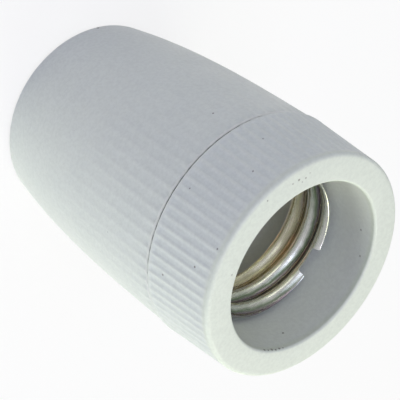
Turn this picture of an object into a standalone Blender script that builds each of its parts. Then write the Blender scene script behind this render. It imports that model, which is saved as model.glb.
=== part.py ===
"""Porcelain lamp holder for E27 lamps, standing on the end of its cap with the mouth up.

Metres, +Z along the holder's axis from the cap's end face to the mouth.
"""
from math import atan2, cos, pi, radians, sin, sqrt, tau

import bmesh
import bpy
from mathutils import Matrix

# Clearances between neighbouring pieces
SEAT_GAP = 0.0003
THREAD_CLEARANCE = 0.00035

# Cap: tapered ribbed housing
CAP_LENGTH = 0.0447
CAP_WALL = 0.00365
CAP_TAPER = 0.0029
CAP_TAPER_POWER = 3.0
CAP_CORNER = 0.0014
CAP_RIBS = 62
CAP_RIB_DEPTH = 0.00035
CAP_RIB_FADE_START = 0.003
CAP_RIB_FADE_LENGTH = 0.026
CAP_BANDS = 5
CAP_WEB = 0.0032
CHAMBER_SHOULDER = 0.00155
CHAMBER_CORNER = 0.004

# Skirt: ribbed sleeve with the mouth's lip, and the threaded neck that enters the cap
SKIRT_LENGTH = 0.0136
SKIRT_SEAM_STEP = 0.0002
SKIRT_TAPER = 0.0009
LIP_RADIUS = 0.0009
LIP_BAND = 0.0014
SKIRT_RIBS = 77
SKIRT_RIB_DEPTH = 0.00035
SKIRT_RIB_FADE_LENGTH = 0.0007
BORE_STEP = 0.0002
BORE_LIP_RADIUS = 0.0005
NECK_LENGTH = 0.0122
NECK_WALL = 0.00175
NECK_CHAMFER = 0.0005
SHELL_CLEARANCE = 0.000945

# Porcelain thread between neck and cap
THREAD_PITCH = 0.004
THREAD_HEIGHT = 0.00075
THREAD_BASE_SHARE = 0.5
THREAD_CREST_SHARE = 0.25
THREAD_START = 0.0022
THREAD_END = 0.0026
THREAD_LEAD = 0.1
THREAD_RUN_OUT = 0.5

# Insert: porcelain stone that carries the contacts
INSERT_THICKNESS = 0.008
INSERT_RECESS_CLEARANCE = 0.000345
INSERT_RECESS_DEPTH = 0.0034
INSERT_EDGE = 0.0005
SCREW_POCKET_CLEARANCE = 0.0009
BARRIER_WIDTH = 0.0020
BARRIER_HEIGHT = 0.0025
BARRIER_END_GAP = 0.0022
KEY_WIDTH = 0.0036
KEY_DEPTH = 0.0009
KEY_ANGLE = radians(225)

# Thread shell: passivated strip with the rolled lamp thread
SHELL_SETBACK = 0.0088
SHELL_WIDTH = 0.0088
SHELL_THICKNESS = 0.0004
SHELL_INNER_RADIUS = 0.01278
SHELL_THREAD_DEPTH = 0.00115
LAMP_PITCH = 0.003629
SHELL_PHASE = radians(116)
SHELL_SEAM_ANGLE = radians(96)
SHELL_SEAM_GAP = 0.0003
SHELL_NOTCH_LENGTH = 0.00245
SHELL_NOTCH_DEPTH = 0.0011
SHELL_NOTCH_END = 0.0003
LEG_WIDTH = 0.0070
LEG_SHOULDER = 0.0012
FOOT_REACH = 0.0028
FOOT_RIVET_INSET = 0.003155

# Contacts and terminals
CONTACT_THICKNESS = 0.0005
CONTACT_WIDTH = 0.0060
CONTACT_RISE = 0.0019
CONTACT_CROWN = 0.0005
CONTACT_TAIL = 0.0029
CONTACT_TIP = 0.0036
CONTACT_CROWN_WIDTH = 0.00144
CENTRE_RIVET_DISTANCE = 0.0075
TERMINAL_THICKNESS = 0.0008
TERMINAL_WIDTH = 0.0060
WASHER_THICKNESS = 0.0008
WASHER_SIZE = 0.0060
TERMINAL_SCREW_RADIUS = 0.00165
TERMINAL_HEAD_RADIUS = 0.0029
TERMINAL_HEAD_HEIGHT = 0.0021
TERMINAL_HEAD_CHAMFER = 0.00042
TERMINAL_SCREW_REACH = 0.0026
SLOT_WIDTH = 0.0008
TERMINAL_INSET = 0.0042
TERMINAL_ANGLE = radians(-47)
RIVET_RADIUS = 0.0014
RIVET_HEAD_RADIUS = 0.0025
RIVET_HEAD_HEIGHT = 0.0010
RIVET_DOME_SHARE = 0.7
RIVET_WASHER_RADIUS = 0.0030
RIVET_WASHER_THICKNESS = 0.0006

# Entry bush with its nut, washer and set screw
BUSH_BORE_RADIUS = 0.0045
BUSH_WALL = 0.0017
BUSH_FLANGE_WIDTH = 0.0026
BUSH_FLANGE_THICKNESS = 0.0012
BUSH_TOP_MARGIN = 0.0046
BUSH_CHAMFER = 0.0003
NUT_WALL = 0.00205
NUT_HEIGHT = 0.0026
BUSH_WASHER_WIDTH = 0.0024
BUSH_WASHER_THICKNESS = 0.0008
SET_SCREW_RADIUS = 0.0013
SET_SCREW_LENGTH = 0.0045

# Facets around the axis
BODY_STEPS = 34
THREAD_STEPS = 24
SHELL_STEPS = 36
SHELL_ROWS = 12
SMALL_STEPS = 12
BUSH_STEPS = 18

# Radii that follow from the sizes above, from the lamp's thread outwards
LEG_RADIUS = SHELL_INNER_RADIUS + SHELL_THREAD_DEPTH / 2
SHELL_OUTER_RADIUS = LEG_RADIUS + SHELL_THICKNESS
INSERT_RECESS_RADIUS = SHELL_OUTER_RADIUS + INSERT_RECESS_CLEARANCE
SHELL_RIVET_DISTANCE = LEG_RADIUS - FOOT_RIVET_INSET
FOOT_INNER_RADIUS = SHELL_RIVET_DISTANCE - FOOT_REACH
NECK_BORE_RADIUS = SHELL_OUTER_RADIUS + SHELL_CLEARANCE
BORE_RADIUS = NECK_BORE_RADIUS + BORE_STEP
NECK_ROOT_RADIUS = NECK_BORE_RADIUS + NECK_WALL
CAP_BORE_RADIUS = NECK_ROOT_RADIUS + SEAT_GAP
INSERT_RADIUS = CAP_BORE_RADIUS - THREAD_CLEARANCE
CHAMBER_RADIUS = CAP_BORE_RADIUS - CHAMBER_SHOULDER
CAP_SEAM_RADIUS = CAP_BORE_RADIUS + CAP_WALL
CAP_END_RADIUS = CAP_SEAM_RADIUS - CAP_TAPER
SKIRT_SEAM_RADIUS = CAP_SEAM_RADIUS + SKIRT_SEAM_STEP
MOUTH_RADIUS = SKIRT_SEAM_RADIUS - SKIRT_TAPER
BUSH_BODY_RADIUS = BUSH_BORE_RADIUS + BUSH_WALL
BUSH_FLANGE_RADIUS = BUSH_BODY_RADIUS + BUSH_FLANGE_WIDTH
BUSH_WASHER_RADIUS = BUSH_BODY_RADIUS + BUSH_WASHER_WIDTH
NUT_ACROSS_FLATS = 2 * (BUSH_BODY_RADIUS + NUT_WALL)
ENTRY_HOLE_RADIUS = BUSH_BODY_RADIUS + SEAT_GAP
COUNTERBORE_RADIUS = BUSH_FLANGE_RADIUS + SEAT_GAP
COUNTERBORE_DEPTH = BUSH_FLANGE_THICKNESS + 2 * SEAT_GAP
RIVET_HOLE_RADIUS = RIVET_RADIUS + SEAT_GAP
SCREW_HOLE_RADIUS = TERMINAL_SCREW_RADIUS + SEAT_GAP
TERMINAL_DISTANCE = CHAMBER_RADIUS - TERMINAL_INSET

# Heights and lengths that follow from the sizes above
CAP_FLOOR = COUNTERBORE_DEPTH + CAP_WEB
BARRIER_LENGTH = 2 * (CHAMBER_RADIUS - BARRIER_END_GAP)
THREAD_BASE_WIDTH = THREAD_PITCH * THREAD_BASE_SHARE
THREAD_CREST_WIDTH = THREAD_PITCH * THREAD_CREST_SHARE
THREAD_TURNS = (NECK_LENGTH - THREAD_START - THREAD_END) / THREAD_PITCH
SCREW_POCKET_DEPTH = TERMINAL_SCREW_REACH + SCREW_POCKET_CLEARANCE
SKIRT_Z = CAP_LENGTH + SEAT_GAP
MOUTH_Z = SKIRT_Z + SKIRT_LENGTH
NECK_Z = SKIRT_Z - NECK_LENGTH
INSERT_TOP_Z = NECK_Z - SEAT_GAP
INSERT_Z = INSERT_TOP_Z - INSERT_THICKNESS
SHOULDER_Z = INSERT_Z - SEAT_GAP
RECESS_Z = INSERT_TOP_Z - INSERT_RECESS_DEPTH
FOOT_Z = RECESS_Z + SEAT_GAP
SHELL_FRONT_Z = MOUTH_Z - SHELL_SETBACK
SHELL_REAR_Z = SHELL_FRONT_Z - SHELL_WIDTH
TERMINAL_TOP_Z = INSERT_Z - SEAT_GAP
TERMINAL_Z = TERMINAL_TOP_Z - TERMINAL_THICKNESS
WASHER_Z = TERMINAL_Z - SEAT_GAP - WASHER_THICKNESS
HEAD_TOP_Z = WASHER_Z - SEAT_GAP
BUSH_WASHER_Z = CAP_FLOOR + SEAT_GAP
NUT_Z = BUSH_WASHER_Z + BUSH_WASHER_THICKNESS + SEAT_GAP
NUT_TOP_Z = NUT_Z + NUT_HEIGHT
BUSH_TOP_Z = NUT_TOP_Z + BUSH_TOP_MARGIN
SET_SCREW_Z = (NUT_TOP_Z + BUSH_TOP_Z) / 2

# Places of the contacts, seen from the mouth
CENTRE_RIVET = (0.0, -CENTRE_RIVET_DISTANCE)
NEUTRAL_RIVET = (-SHELL_RIVET_DISTANCE, 0.0)
PLAIN_RIVET = (SHELL_RIVET_DISTANCE, 0.0)
LIVE_SCREW = (TERMINAL_DISTANCE * cos(TERMINAL_ANGLE), TERMINAL_DISTANCE * sin(TERMINAL_ANGLE))
NEUTRAL_SCREW = (-LIVE_SCREW[0], -LIVE_SCREW[1])

# Reach of a cutter past the faces that it cuts, and the angle from which an edge is sharp
CUT_MARGIN = 0.002
SHARP_ANGLE = radians(32)


def clear_scene():
    """Remove every object of the open scene."""
    for item in list(bpy.data.objects):
        bpy.data.objects.remove(item, do_unlink=True)


def make_material(name, colour, roughness, metallic):
    """A plain Principled material."""
    made = bpy.data.materials.new(name)
    made.use_nodes = True
    shader = made.node_tree.nodes["Principled BSDF"]
    shader.inputs["Base Color"].default_value = (*colour, 1.0)
    shader.inputs["Roughness"].default_value = roughness
    shader.inputs["Metallic"].default_value = metallic
    return made


def make_object(
        name, form, finish, location=(0.0, 0.0, 0.0), turn=0.0, parent=None, closed=True):
    """Turn a bmesh into a smooth-shaded object with one material."""
    if closed:
        bmesh.ops.recalc_face_normals(form, faces=form.faces)
    mesh = bpy.data.meshes.new(name)
    form.to_mesh(mesh)
    form.free()
    mesh.shade_smooth()
    mesh.set_sharp_from_angle(angle=SHARP_ANGLE)
    mesh.materials.append(finish)
    made = bpy.data.objects.new(name, mesh)
    made.location = location
    made.rotation_euler = (0.0, 0.0, turn)
    made.parent = parent
    bpy.context.collection.objects.link(made)
    return made


def make_empty(name, location, parent=None):
    """A frame that carries a rigid group."""
    made = bpy.data.objects.new(name, None)
    made.location = location
    made.parent = parent
    bpy.context.collection.objects.link(made)
    return made


def add_boolean(target, tool, operation):
    """Join or cut the target with a tool object that stays hidden."""
    tool.hide_render = True
    tool.display_type = "WIRE"
    step = target.modifiers.new(tool.name, "BOOLEAN")
    step.operation = operation
    step.solver = "EXACT"
    step.object = tool


def arc(centre_radius, centre_height, size, start, end, steps):
    """Points (radius, height) along a round corner, angles in degrees from the +radius side."""
    points = []
    for index in range(steps + 1):
        angle = radians(start + (end - start) * index / steps)
        points.append((centre_radius + size * cos(angle), centre_height + size * sin(angle)))
    return points


def turned_form(outline, steps, closed=False):
    """Spin an outline of (radius, height) points round +Z; an open one starts and ends on the axis."""
    form = bmesh.new()
    verts = [form.verts.new((radius, 0.0, height)) for radius, height in outline]
    edges = [form.edges.new(pair) for pair in zip(verts, verts[1:])]
    if closed:
        edges.append(form.edges.new((verts[-1], verts[0])))
    bmesh.ops.spin(
        form, geom=verts + edges, cent=(0.0, 0.0, 0.0), axis=(0.0, 0.0, 1.0),
        angle=tau, steps=steps, use_merge=True)
    bmesh.ops.remove_doubles(form, verts=form.verts, dist=1e-6)
    return form


def cylinder_form(radius, bottom, top, steps, centre=(0.0, 0.0)):
    """A plain cylinder between two heights."""
    form = bmesh.new()
    bmesh.ops.create_cone(
        form, cap_ends=True, segments=steps, radius1=radius, radius2=radius, depth=top - bottom,
        matrix=Matrix.Translation((centre[0], centre[1], (bottom + top) / 2)))
    return form


def box_form(size_x, size_y, bottom, top, centre=(0.0, 0.0)):
    """A box between two heights."""
    form = bmesh.new()
    shape = Matrix.Diagonal((size_x, size_y, top - bottom, 1.0))
    bmesh.ops.create_cube(
        form, size=1.0,
        matrix=Matrix.Translation((centre[0], centre[1], (bottom + top) / 2)) @ shape)
    return form


def ribbed_form(rows, ribs):
    """Loft rings of (height, radius, groove depth); every second vertex lies in a groove."""
    form = bmesh.new()
    circle = bmesh.ops.create_circle(form, cap_ends=True, segments=2 * ribs, radius=1.0)
    first = circle["verts"][0].co.xy.copy()

    def set_ring(verts, row):
        height, radius, depth = row
        for vert in verts:
            place = round(vert.co.xy.angle_signed(first) / (pi / ribs))
            reach = (radius - depth * (place % 2)) / vert.co.xy.length
            vert.co = (vert.co.x * reach, vert.co.y * reach, height)

    set_ring(circle["verts"], rows[0])
    edges = list(form.edges)
    for row in rows[1:]:
        grown = bmesh.ops.extrude_edge_only(form, edges=edges)["geom"]
        set_ring([item for item in grown if isinstance(item, bmesh.types.BMVert)], row)
        edges = [item for item in grown if isinstance(item, bmesh.types.BMEdge)]
    bmesh.ops.edgeloop_fill(form, edges=edges)
    return form


def helical_form(root, crest, base_width, crest_width, start, turns):
    """A ridge of trapezoid section wound right-handed round +Z at the porcelain thread's pitch."""
    form = bmesh.new()
    section = [
        (root, -base_width / 2), (crest, -crest_width / 2),
        (crest, crest_width / 2), (root, base_width / 2)]
    verts = [form.verts.new((radius, 0.0, start + height)) for radius, height in section]
    face = form.faces.new(verts)
    steps = round(turns * THREAD_STEPS)
    bmesh.ops.spin(
        form, geom=[face], cent=(0.0, 0.0, 0.0), axis=(0.0, 0.0, 1.0),
        dvec=(0.0, 0.0, THREAD_PITCH * turns / steps), angle=tau * turns, steps=steps)
    bmesh.ops.holes_fill(form, edges=form.edges, sides=4)
    return form


def cap_radius(height):
    """The cap's outer radius over its ribs: nearly straight at the seam, drawn in at the end."""
    share = (CAP_LENGTH - height) / CAP_LENGTH
    return CAP_SEAM_RADIUS - (CAP_SEAM_RADIUS - CAP_END_RADIUS) * share ** CAP_TAPER_POWER


def cap_rows():
    """Rings of the cap's outside, from the end face to the seam."""
    corner_radius = cap_radius(CAP_CORNER) - CAP_CORNER
    rows = []
    for radius, height in arc(corner_radius, CAP_CORNER, CAP_CORNER, -90, 0, 2):
        rows.append((height, radius, 0.0))
    for index in range(1, CAP_BANDS + 1):
        height = CAP_CORNER + (CAP_LENGTH - CAP_CORNER) * index / CAP_BANDS
        fade = min(1.0, max(0.0, (height - CAP_RIB_FADE_START) / CAP_RIB_FADE_LENGTH))
        rows.append((height, cap_radius(height), CAP_RIB_DEPTH * fade))
    return rows


def make_cap(finish, parent):
    """Ribbed housing with the wiring chamber, the coarse inner thread and the key."""
    cap = make_object("cap", ribbed_form(cap_rows(), CAP_RIBS), finish, parent=parent)

    hollow = [(0.0, -CUT_MARGIN), (COUNTERBORE_RADIUS, -CUT_MARGIN)]
    hollow += [(COUNTERBORE_RADIUS, COUNTERBORE_DEPTH), (ENTRY_HOLE_RADIUS, COUNTERBORE_DEPTH)]
    hollow += [(ENTRY_HOLE_RADIUS, CAP_FLOOR)]
    hollow += arc(
        CHAMBER_RADIUS - CHAMBER_CORNER, CAP_FLOOR + CHAMBER_CORNER, CHAMBER_CORNER, -90, 0, 3)
    hollow += [(CHAMBER_RADIUS, SHOULDER_Z), (CAP_BORE_RADIUS, SHOULDER_Z)]
    hollow += [(CAP_BORE_RADIUS, CAP_LENGTH + CUT_MARGIN), (0.0, CAP_LENGTH + CUT_MARGIN)]
    add_boolean(
        cap, make_object("cap_hollow", turned_form(hollow, BODY_STEPS), finish, parent=parent),
        "DIFFERENCE")

    widening = 2 * THREAD_CLEARANCE
    start = NECK_Z + THREAD_START
    turns = (CAP_LENGTH + CUT_MARGIN - start) / THREAD_PITCH + THREAD_LEAD + THREAD_RUN_OUT
    groove = helical_form(
        CAP_BORE_RADIUS - THREAD_HEIGHT, NECK_ROOT_RADIUS + THREAD_HEIGHT + THREAD_CLEARANCE,
        THREAD_BASE_WIDTH + widening + THREAD_HEIGHT, THREAD_CREST_WIDTH + widening,
        start - THREAD_LEAD * THREAD_PITCH, turns)
    add_boolean(
        cap,
        make_object("cap_groove", groove, finish, turn=-tau * THREAD_LEAD, parent=parent),
        "DIFFERENCE")

    key = box_form(
        2 * KEY_DEPTH, KEY_WIDTH, SHOULDER_Z - KEY_DEPTH, INSERT_TOP_Z,
        (CAP_BORE_RADIUS, 0.0))
    add_boolean(
        cap, make_object("cap_key", key, finish, turn=KEY_ANGLE, parent=parent), "UNION")
    return cap


def skirt_rows():
    """Rings of the skirt's outside, from the seam to the mouth, measured from the seam."""
    def side_radius(height):
        return SKIRT_SEAM_RADIUS - (SKIRT_SEAM_RADIUS - MOUTH_RADIUS) * height / SKIRT_LENGTH

    ribs_end = SKIRT_LENGTH - LIP_BAND
    rows = [(0.0, side_radius(0.0), SKIRT_RIB_DEPTH)]
    rows.append((ribs_end - SKIRT_RIB_FADE_LENGTH, side_radius(ribs_end), SKIRT_RIB_DEPTH))
    rows.append((ribs_end, side_radius(ribs_end), 0.0))
    lip_start = SKIRT_LENGTH - LIP_RADIUS
    lip_centre = side_radius(lip_start) - LIP_RADIUS
    for radius, height in arc(lip_centre, lip_start, LIP_RADIUS, 0, 90, 3):
        rows.append((height, radius, 0.0))
    return rows


def make_skirt(finish, parent):
    """Ribbed sleeve with its lip and the neck that screws into the cap; origin at the seam."""
    skirt = make_object("skirt", ribbed_form(skirt_rows(), SKIRT_RIBS), finish, parent=parent)

    neck_top = NECK_CHAMFER * 2
    neck = [(0.0, -NECK_LENGTH), (NECK_ROOT_RADIUS - NECK_CHAMFER, -NECK_LENGTH)]
    neck += [(NECK_ROOT_RADIUS, NECK_CHAMFER - NECK_LENGTH), (NECK_ROOT_RADIUS, neck_top)]
    neck += [(0.0, neck_top)]
    add_boolean(
        skirt, make_object("skirt_neck", turned_form(neck, BODY_STEPS), finish, parent=parent),
        "UNION")

    ridge = helical_form(
        NECK_ROOT_RADIUS - THREAD_HEIGHT, NECK_ROOT_RADIUS + THREAD_HEIGHT,
        THREAD_BASE_WIDTH + THREAD_HEIGHT, THREAD_CREST_WIDTH,
        THREAD_START - NECK_LENGTH, THREAD_TURNS)
    add_boolean(skirt, make_object("skirt_ridge", ridge, finish, parent=parent), "UNION")

    bore = [(0.0, -NECK_LENGTH - CUT_MARGIN), (NECK_BORE_RADIUS, -NECK_LENGTH - CUT_MARGIN)]
    bore += [(NECK_BORE_RADIUS, 0.0), (BORE_RADIUS, BORE_STEP)]
    bore += arc(
        BORE_RADIUS + BORE_LIP_RADIUS, SKIRT_LENGTH - BORE_LIP_RADIUS, BORE_LIP_RADIUS, 180, 90, 3)
    bore += [(BORE_RADIUS + BORE_LIP_RADIUS, SKIRT_LENGTH + CUT_MARGIN)]
    bore += [(0.0, SKIRT_LENGTH + CUT_MARGIN)]
    add_boolean(
        skirt, make_object("skirt_bore", turned_form(bore, BODY_STEPS), finish, parent=parent),
        "DIFFERENCE")
    return skirt


def drill(target, name, finish, parent, radius, bottom, top, centre):
    """Cut a round hole between two heights."""
    hole = cylinder_form(radius, bottom, top, SMALL_STEPS, centre)
    add_boolean(target, make_object(name, hole, finish, parent=parent), "DIFFERENCE")


def make_insert(finish, parent):
    """Porcelain stone: recess for the feet, rivet holes, screw pockets, barrier and key slot."""
    bottom = INSERT_Z - INSERT_TOP_Z
    outline = [(0.0, bottom), (INSERT_RADIUS - INSERT_EDGE, bottom)]
    outline += [(INSERT_RADIUS, bottom + INSERT_EDGE), (INSERT_RADIUS, -INSERT_EDGE)]
    outline += [(INSERT_RADIUS - INSERT_EDGE, 0.0), (INSERT_RECESS_RADIUS, 0.0)]
    outline += [(INSERT_RECESS_RADIUS, -INSERT_RECESS_DEPTH), (0.0, -INSERT_RECESS_DEPTH)]
    insert = make_object("insert", turned_form(outline, BODY_STEPS), finish, parent=parent)

    barrier = box_form(
        BARRIER_LENGTH, BARRIER_WIDTH, bottom - BARRIER_HEIGHT, bottom + BARRIER_WIDTH)
    add_boolean(
        insert, make_object("insert_barrier", barrier, finish, turn=pi / 4, parent=parent), "UNION")

    through = (bottom - CUT_MARGIN, CUT_MARGIN)
    for name, place in (
            ("centre", CENTRE_RIVET), ("neutral", NEUTRAL_RIVET), ("plain", PLAIN_RIVET)):
        drill(insert, f"insert_{name}_hole", finish, parent, RIVET_HOLE_RADIUS, *through, place)
    for name, place in (("live", LIVE_SCREW), ("neutral", NEUTRAL_SCREW)):
        drill(
            insert, f"insert_{name}_pocket", finish, parent, SCREW_HOLE_RADIUS,
            bottom - CUT_MARGIN, bottom + SCREW_POCKET_DEPTH, place)

    slot_reach = 2 * (KEY_DEPTH + SEAT_GAP)
    slot = box_form(
        slot_reach, KEY_WIDTH + 2 * SEAT_GAP, bottom - CUT_MARGIN, CUT_MARGIN,
        (CAP_BORE_RADIUS, 0.0))
    add_boolean(
        insert, make_object("insert_slot", slot, finish, turn=KEY_ANGLE, parent=parent),
        "DIFFERENCE")
    return insert


def shell_radius(angle, height):
    """Inner radius of the rolled right-hand lamp thread at an angle and a height."""
    wave = cos(tau * height / LAMP_PITCH - angle + SHELL_PHASE)
    return SHELL_INNER_RADIUS + SHELL_THREAD_DEPTH / 2 * wave


def shell_front(distance):
    """Height of the strip's front edge at a distance along the strip from the open seam."""
    cut = min(1.0, max(0.0, (SHELL_NOTCH_LENGTH - distance) / SHELL_NOTCH_END))
    return SHELL_FRONT_Z - SHELL_NOTCH_DEPTH * cut


def make_shell(finish, parent):
    """Strip with the rolled thread, bent round to an open seam, with two legs and their feet."""
    half_gap = SHELL_SEAM_GAP / 2 / SHELL_INNER_RADIUS
    notch_angle = SHELL_NOTCH_LENGTH / SHELL_INNER_RADIUS
    bands = SHELL_STEPS - 4
    end_angle = SHELL_NOTCH_END / SHELL_INNER_RADIUS
    turns = [half_gap, notch_angle - end_angle]
    for index in range(bands + 1):
        turns.append(notch_angle + (tau - 2 * notch_angle) * index / bands)
    turns += [tau - notch_angle + end_angle, tau - half_gap]

    def place_column(verts, turn):
        top = shell_front(min(turn, tau - turn) * SHELL_INNER_RADIUS)
        angle = SHELL_SEAM_ANGLE + turn
        for index, vert in enumerate(sorted(verts, key=lambda item: item.co.z)):
            height = SHELL_REAR_Z + (top - SHELL_REAR_Z) * index / SHELL_ROWS
            radius = shell_radius(angle, height)
            vert.co = (radius * cos(angle), radius * sin(angle), height)

    form = bmesh.new()
    verts = [form.verts.new((0.0, 0.0, index)) for index in range(SHELL_ROWS + 1)]
    edges = [form.edges.new(pair) for pair in zip(verts, verts[1:])]
    place_column(verts, turns[0])
    for turn in turns[1:]:
        grown = bmesh.ops.extrude_edge_only(form, edges=edges)["geom"]
        place_column([item for item in grown if isinstance(item, bmesh.types.BMVert)], turn)
        edges = [item for item in grown if isinstance(item, bmesh.types.BMEdge)]
    for side in (-1, 1):
        grow_leg(form, side)
    face_outward(form)

    shell = make_object("thread_shell", form, finish, parent=parent, closed=False)
    shell.location.z = -INSERT_TOP_Z
    sheet = shell.modifiers.new("sheet", "SOLIDIFY")
    sheet.thickness = SHELL_THICKNESS
    sheet.offset = 1.0
    sheet.use_even_offset = True
    for name, place in (("neutral", NEUTRAL_RIVET), ("plain", PLAIN_RIVET)):
        drill(
            shell, f"foot_{name}_hole", finish, parent, RIVET_HOLE_RADIUS,
            FOOT_Z - INSERT_TOP_Z - CUT_MARGIN, FOOT_Z - INSERT_TOP_Z + CUT_MARGIN, place)
    return shell


def grow_leg(form, side):
    """Draw a leg down from the shell's rear edge on the +X or -X side and bend its foot inward."""
    def is_rear(edge):
        middle = (edge.verts[0].co + edge.verts[1].co) / 2
        level = all(abs(vert.co.z - SHELL_REAR_Z) < 1e-6 for vert in edge.verts)
        return level and middle.x * side > 0 and abs(middle.y) < LEG_WIDTH / 2

    def grow(edges, shape):
        grown = bmesh.ops.extrude_edge_only(form, edges=edges)["geom"]
        verts = [item for item in grown if isinstance(item, bmesh.types.BMVert)]
        low = min(vert.co.y for vert in verts)
        high = max(vert.co.y for vert in verts)
        for vert in verts:
            across = ((vert.co.y - low) / (high - low) - 0.5) * LEG_WIDTH
            out, height = shape(across)
            vert.co = (side * out, across, height)
        return [item for item in grown if isinstance(item, bmesh.types.BMEdge)]

    def on_leg(across):
        return sqrt(LEG_RADIUS ** 2 - across ** 2)

    foot_top = FOOT_Z + SHELL_THICKNESS
    edges = [edge for edge in form.edges if is_rear(edge)]
    edges = grow(edges, lambda across: (on_leg(across), SHELL_REAR_Z - LEG_SHOULDER))
    edges = grow(edges, lambda across: (on_leg(across), foot_top))
    grow(edges, lambda across: (FOOT_INNER_RADIUS, foot_top))


def face_outward(form):
    """Make an open sheet's faces agree and point away from the axis."""
    bmesh.ops.recalc_face_normals(form, faces=form.faces)
    form.normal_update()
    outward = sum(face.normal.xy.dot(face.calc_center_median().xy) for face in form.faces)
    if outward < 0:
        bmesh.ops.reverse_faces(form, faces=form.faces)


def make_contact(finish, parent):
    """Spring strip: flat under its rivet, then rising to a crown on the axis."""
    crown = CONTACT_RISE + CONTACT_CROWN
    line = [
        (-CENTRE_RIVET_DISTANCE - CONTACT_TAIL, 0.0), (-CENTRE_RIVET_DISTANCE + CONTACT_TAIL, 0.0),
        (-CONTACT_TIP / 2, CONTACT_RISE), (-CONTACT_CROWN_WIDTH / 2, crown),
        (CONTACT_CROWN_WIDTH / 2, crown), (CONTACT_TIP / 2, CONTACT_RISE),
        (CONTACT_TIP, CONTACT_RISE - CONTACT_CROWN)]
    form = bmesh.new()
    verts = [form.verts.new((-CONTACT_WIDTH / 2, along, height)) for along, height in line]
    edges = [form.edges.new(pair) for pair in zip(verts, verts[1:])]
    grown = bmesh.ops.extrude_edge_only(form, edges=edges)["geom"]
    moved = [item for item in grown if isinstance(item, bmesh.types.BMVert)]
    bmesh.ops.translate(form, verts=moved, vec=(CONTACT_WIDTH, 0.0, 0.0))
    bmesh.ops.recalc_face_normals(form, faces=form.faces)
    form.normal_update()
    if sum(face.normal.z for face in form.faces) < 0:
        bmesh.ops.reverse_faces(form, faces=form.faces)
    contact = make_object(
        "centre_contact", form, finish, (0.0, 0.0, FOOT_Z - INSERT_TOP_Z), parent=parent,
        closed=False)
    sheet = contact.modifiers.new("sheet", "SOLIDIFY")
    sheet.thickness = CONTACT_THICKNESS
    sheet.offset = 1.0
    sheet.use_even_offset = True
    drill(
        contact, "contact_hole", finish, parent, RIVET_HOLE_RADIUS,
        FOOT_Z - INSERT_TOP_Z - CUT_MARGIN, FOOT_Z - INSERT_TOP_Z + CUT_MARGIN, CENTRE_RIVET)
    return contact


def make_rivet(name, place, top_seat, bottom_seat, finish, parent):
    """Rivet with a domed head above its upper seat and a closed head under its lower one."""
    top = top_seat + SEAT_GAP - INSERT_TOP_Z
    bottom = bottom_seat - SEAT_GAP - INSERT_TOP_Z
    outline = [(0.0, bottom - RIVET_HEAD_HEIGHT)]
    outline += [(RIVET_HEAD_RADIUS - RIVET_HEAD_HEIGHT / 2, bottom - RIVET_HEAD_HEIGHT)]
    outline += [(RIVET_HEAD_RADIUS, bottom), (RIVET_RADIUS, bottom), (RIVET_RADIUS, top)]
    outline += [(RIVET_HEAD_RADIUS, top)]
    outline += [(
        RIVET_HEAD_RADIUS * RIVET_DOME_SHARE, top + RIVET_HEAD_HEIGHT * RIVET_DOME_SHARE)]
    outline += [(0.0, top + RIVET_HEAD_HEIGHT)]
    form = turned_form(outline, SMALL_STEPS)
    return make_object(name, form, finish, (place[0], place[1], 0.0), parent=parent)


def make_terminal(name, rivet, screw, finish, parent):
    """Flat plate with round ends, from its rivet to its screw."""
    form = bmesh.new()
    middle = TERMINAL_Z + TERMINAL_THICKNESS / 2 - INSERT_TOP_Z
    for place in (rivet, screw):
        bmesh.ops.create_cone(
            form, cap_ends=True, segments=SMALL_STEPS, radius1=TERMINAL_WIDTH / 2,
            radius2=TERMINAL_WIDTH / 2, depth=TERMINAL_THICKNESS,
            matrix=Matrix.Translation((place[0], place[1], middle)))
    hull = bmesh.ops.convex_hull(form, input=form.verts)
    inner = [item for item in hull["geom_interior"] if isinstance(item, bmesh.types.BMVert)]
    bmesh.ops.delete(form, geom=inner, context="VERTS")
    leftover = [item for item in hull["geom_unused"] if isinstance(item, bmesh.types.BMFace)]
    bmesh.ops.delete(form, geom=leftover, context="FACES")
    bmesh.ops.dissolve_limit(
        form, angle_limit=radians(1), verts=form.verts, edges=form.edges)
    terminal = make_object(f"{name}_terminal", form, finish, parent=parent)
    heights = (middle - CUT_MARGIN, middle + CUT_MARGIN)
    drill(terminal, f"{name}_rivet_hole", finish, parent, RIVET_HOLE_RADIUS, *heights, rivet)
    drill(terminal, f"{name}_screw_hole", finish, parent, SCREW_HOLE_RADIUS, *heights, screw)
    return terminal


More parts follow.
